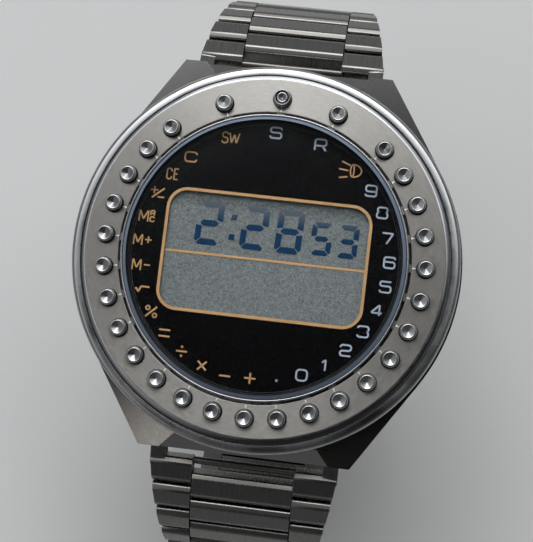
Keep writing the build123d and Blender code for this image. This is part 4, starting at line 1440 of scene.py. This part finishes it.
class WATCH_OT_materials(bpy.types.Operator):
    """Make the finishes of steel, glass, print, rubber and moulding"""

    bl_idname = "watch.materials"
    bl_label = "Finishes"

    def execute(self, context):
        make_materials()
        return {"FINISHED"}


class WATCH_OT_case(bpy.types.Operator):
    """Dress the case body, the case back and the polished rim"""

    bl_idname = "watch.case"
    bl_label = "Case"

    def execute(self, context):
        build_case()
        build_rim()
        return {"FINISHED"}


class WATCH_OT_key_ring(bpy.types.Operator):
    """Build the brushed ring that carries the keys"""

    bl_idname = "watch.key_ring"
    bl_label = "Key ring"

    def execute(self, context):
        build_key_ring()
        build_ring_stakes()
        return {"FINISHED"}


class WATCH_OT_keys(bpy.types.Operator):
    """Build the dished keys and the guard round the setting key"""

    bl_idname = "watch.keys"
    bl_label = "Keys"

    def execute(self, context):
        build_keys()
        build_collar()
        return {"FINISHED"}


class WATCH_OT_crystal(bpy.types.Operator):
    """Build the crystal and the bright ring round it"""

    bl_idname = "watch.crystal"
    bl_label = "Crystal"

    def execute(self, context):
        build_crystal()
        build_crystal_ring()
        return {"FINISHED"}


class WATCH_OT_dial(bpy.types.Operator):
    """Build the dial with its lines and legends"""

    bl_idname = "watch.dial"
    bl_label = "Dial"

    def execute(self, context):
        build_dial()
        build_window_lines()
        build_edge_lines()
        build_legends()
        return {"FINISHED"}


class WATCH_OT_display(bpy.types.Operator):
    """Finish the display and draw its digits"""

    bl_idname = "watch.display"
    bl_label = "Display"

    def execute(self, context):
        finish_node("lcd_panel", "display_grey")
        build_segments()
        return {"FINISHED"}


class WATCH_OT_movement(bpy.types.Operator):
    """Finish the pieces inside the case"""

    bl_idname = "watch.movement"
    bl_label = "Movement"

    def execute(self, context):
        for node, material in NODE_FINISHES.items():
            finish_node(node, material)
        return {"FINISHED"}


class WATCH_OT_bracelet(bpy.types.Operator):
    """Dress the bracelet's pieces"""

    bl_idname = "watch.bracelet"
    bl_label = "Bracelet"

    def execute(self, context):
        build_bracelet()
        return {"FINISHED"}


class WATCH_OT_clasp(bpy.types.Operator):
    """Dress the folding clasp"""

    bl_idname = "watch.clasp"
    bl_label = "Clasp"

    def execute(self, context):
        build_clasp()
        return {"FINISHED"}


OPERATORS = (
    WATCH_OT_stage, WATCH_OT_materials, WATCH_OT_case, WATCH_OT_key_ring, WATCH_OT_keys,
    WATCH_OT_crystal, WATCH_OT_dial, WATCH_OT_display, WATCH_OT_movement, WATCH_OT_bracelet,
    WATCH_OT_clasp,
)


class VIEW3D_PT_watch(bpy.types.Panel):
    """Lists the watch's pieces, sizes and colours"""

    bl_label = "Watch"
    bl_space_type = "VIEW_3D"
    bl_region_type = "UI"
    bl_category = "Watch"

    def draw(self, context):
        for operator in OPERATORS:
            self.layout.operator(operator.bl_idname)
        for group in (context.scene.watch_sizes, context.scene.watch_colours):
            column = self.layout.column()
            for name in type(group).__annotations__:
                column.prop(group, name)


CLASSES = (WatchSizes, WatchColours, *OPERATORS, VIEW3D_PT_watch)


def register():
    for each in CLASSES:
        bpy.utils.register_class(each)
    bpy.types.Scene.watch_sizes = bpy.props.PointerProperty(type=WatchSizes)
    bpy.types.Scene.watch_colours = bpy.props.PointerProperty(type=WatchColours)


def unregister():
    del bpy.types.Scene.watch_colours
    del bpy.types.Scene.watch_sizes
    for each in reversed(CLASSES):
        bpy.utils.unregister_class(each)


def main():
    register()
    bpy.context.scene.view_settings.view_transform = "Standard"
    bpy.ops.watch.materials()
    bpy.ops.watch.stage()
    bpy.ops.watch.case()
    bpy.ops.watch.key_ring()
    bpy.ops.watch.keys()
    bpy.ops.watch.crystal()
    bpy.ops.watch.dial()
    bpy.ops.watch.display()
    bpy.ops.watch.movement()
    bpy.ops.watch.bracelet()
    bpy.ops.watch.clasp()


if __name__ == "__main__":
    main()
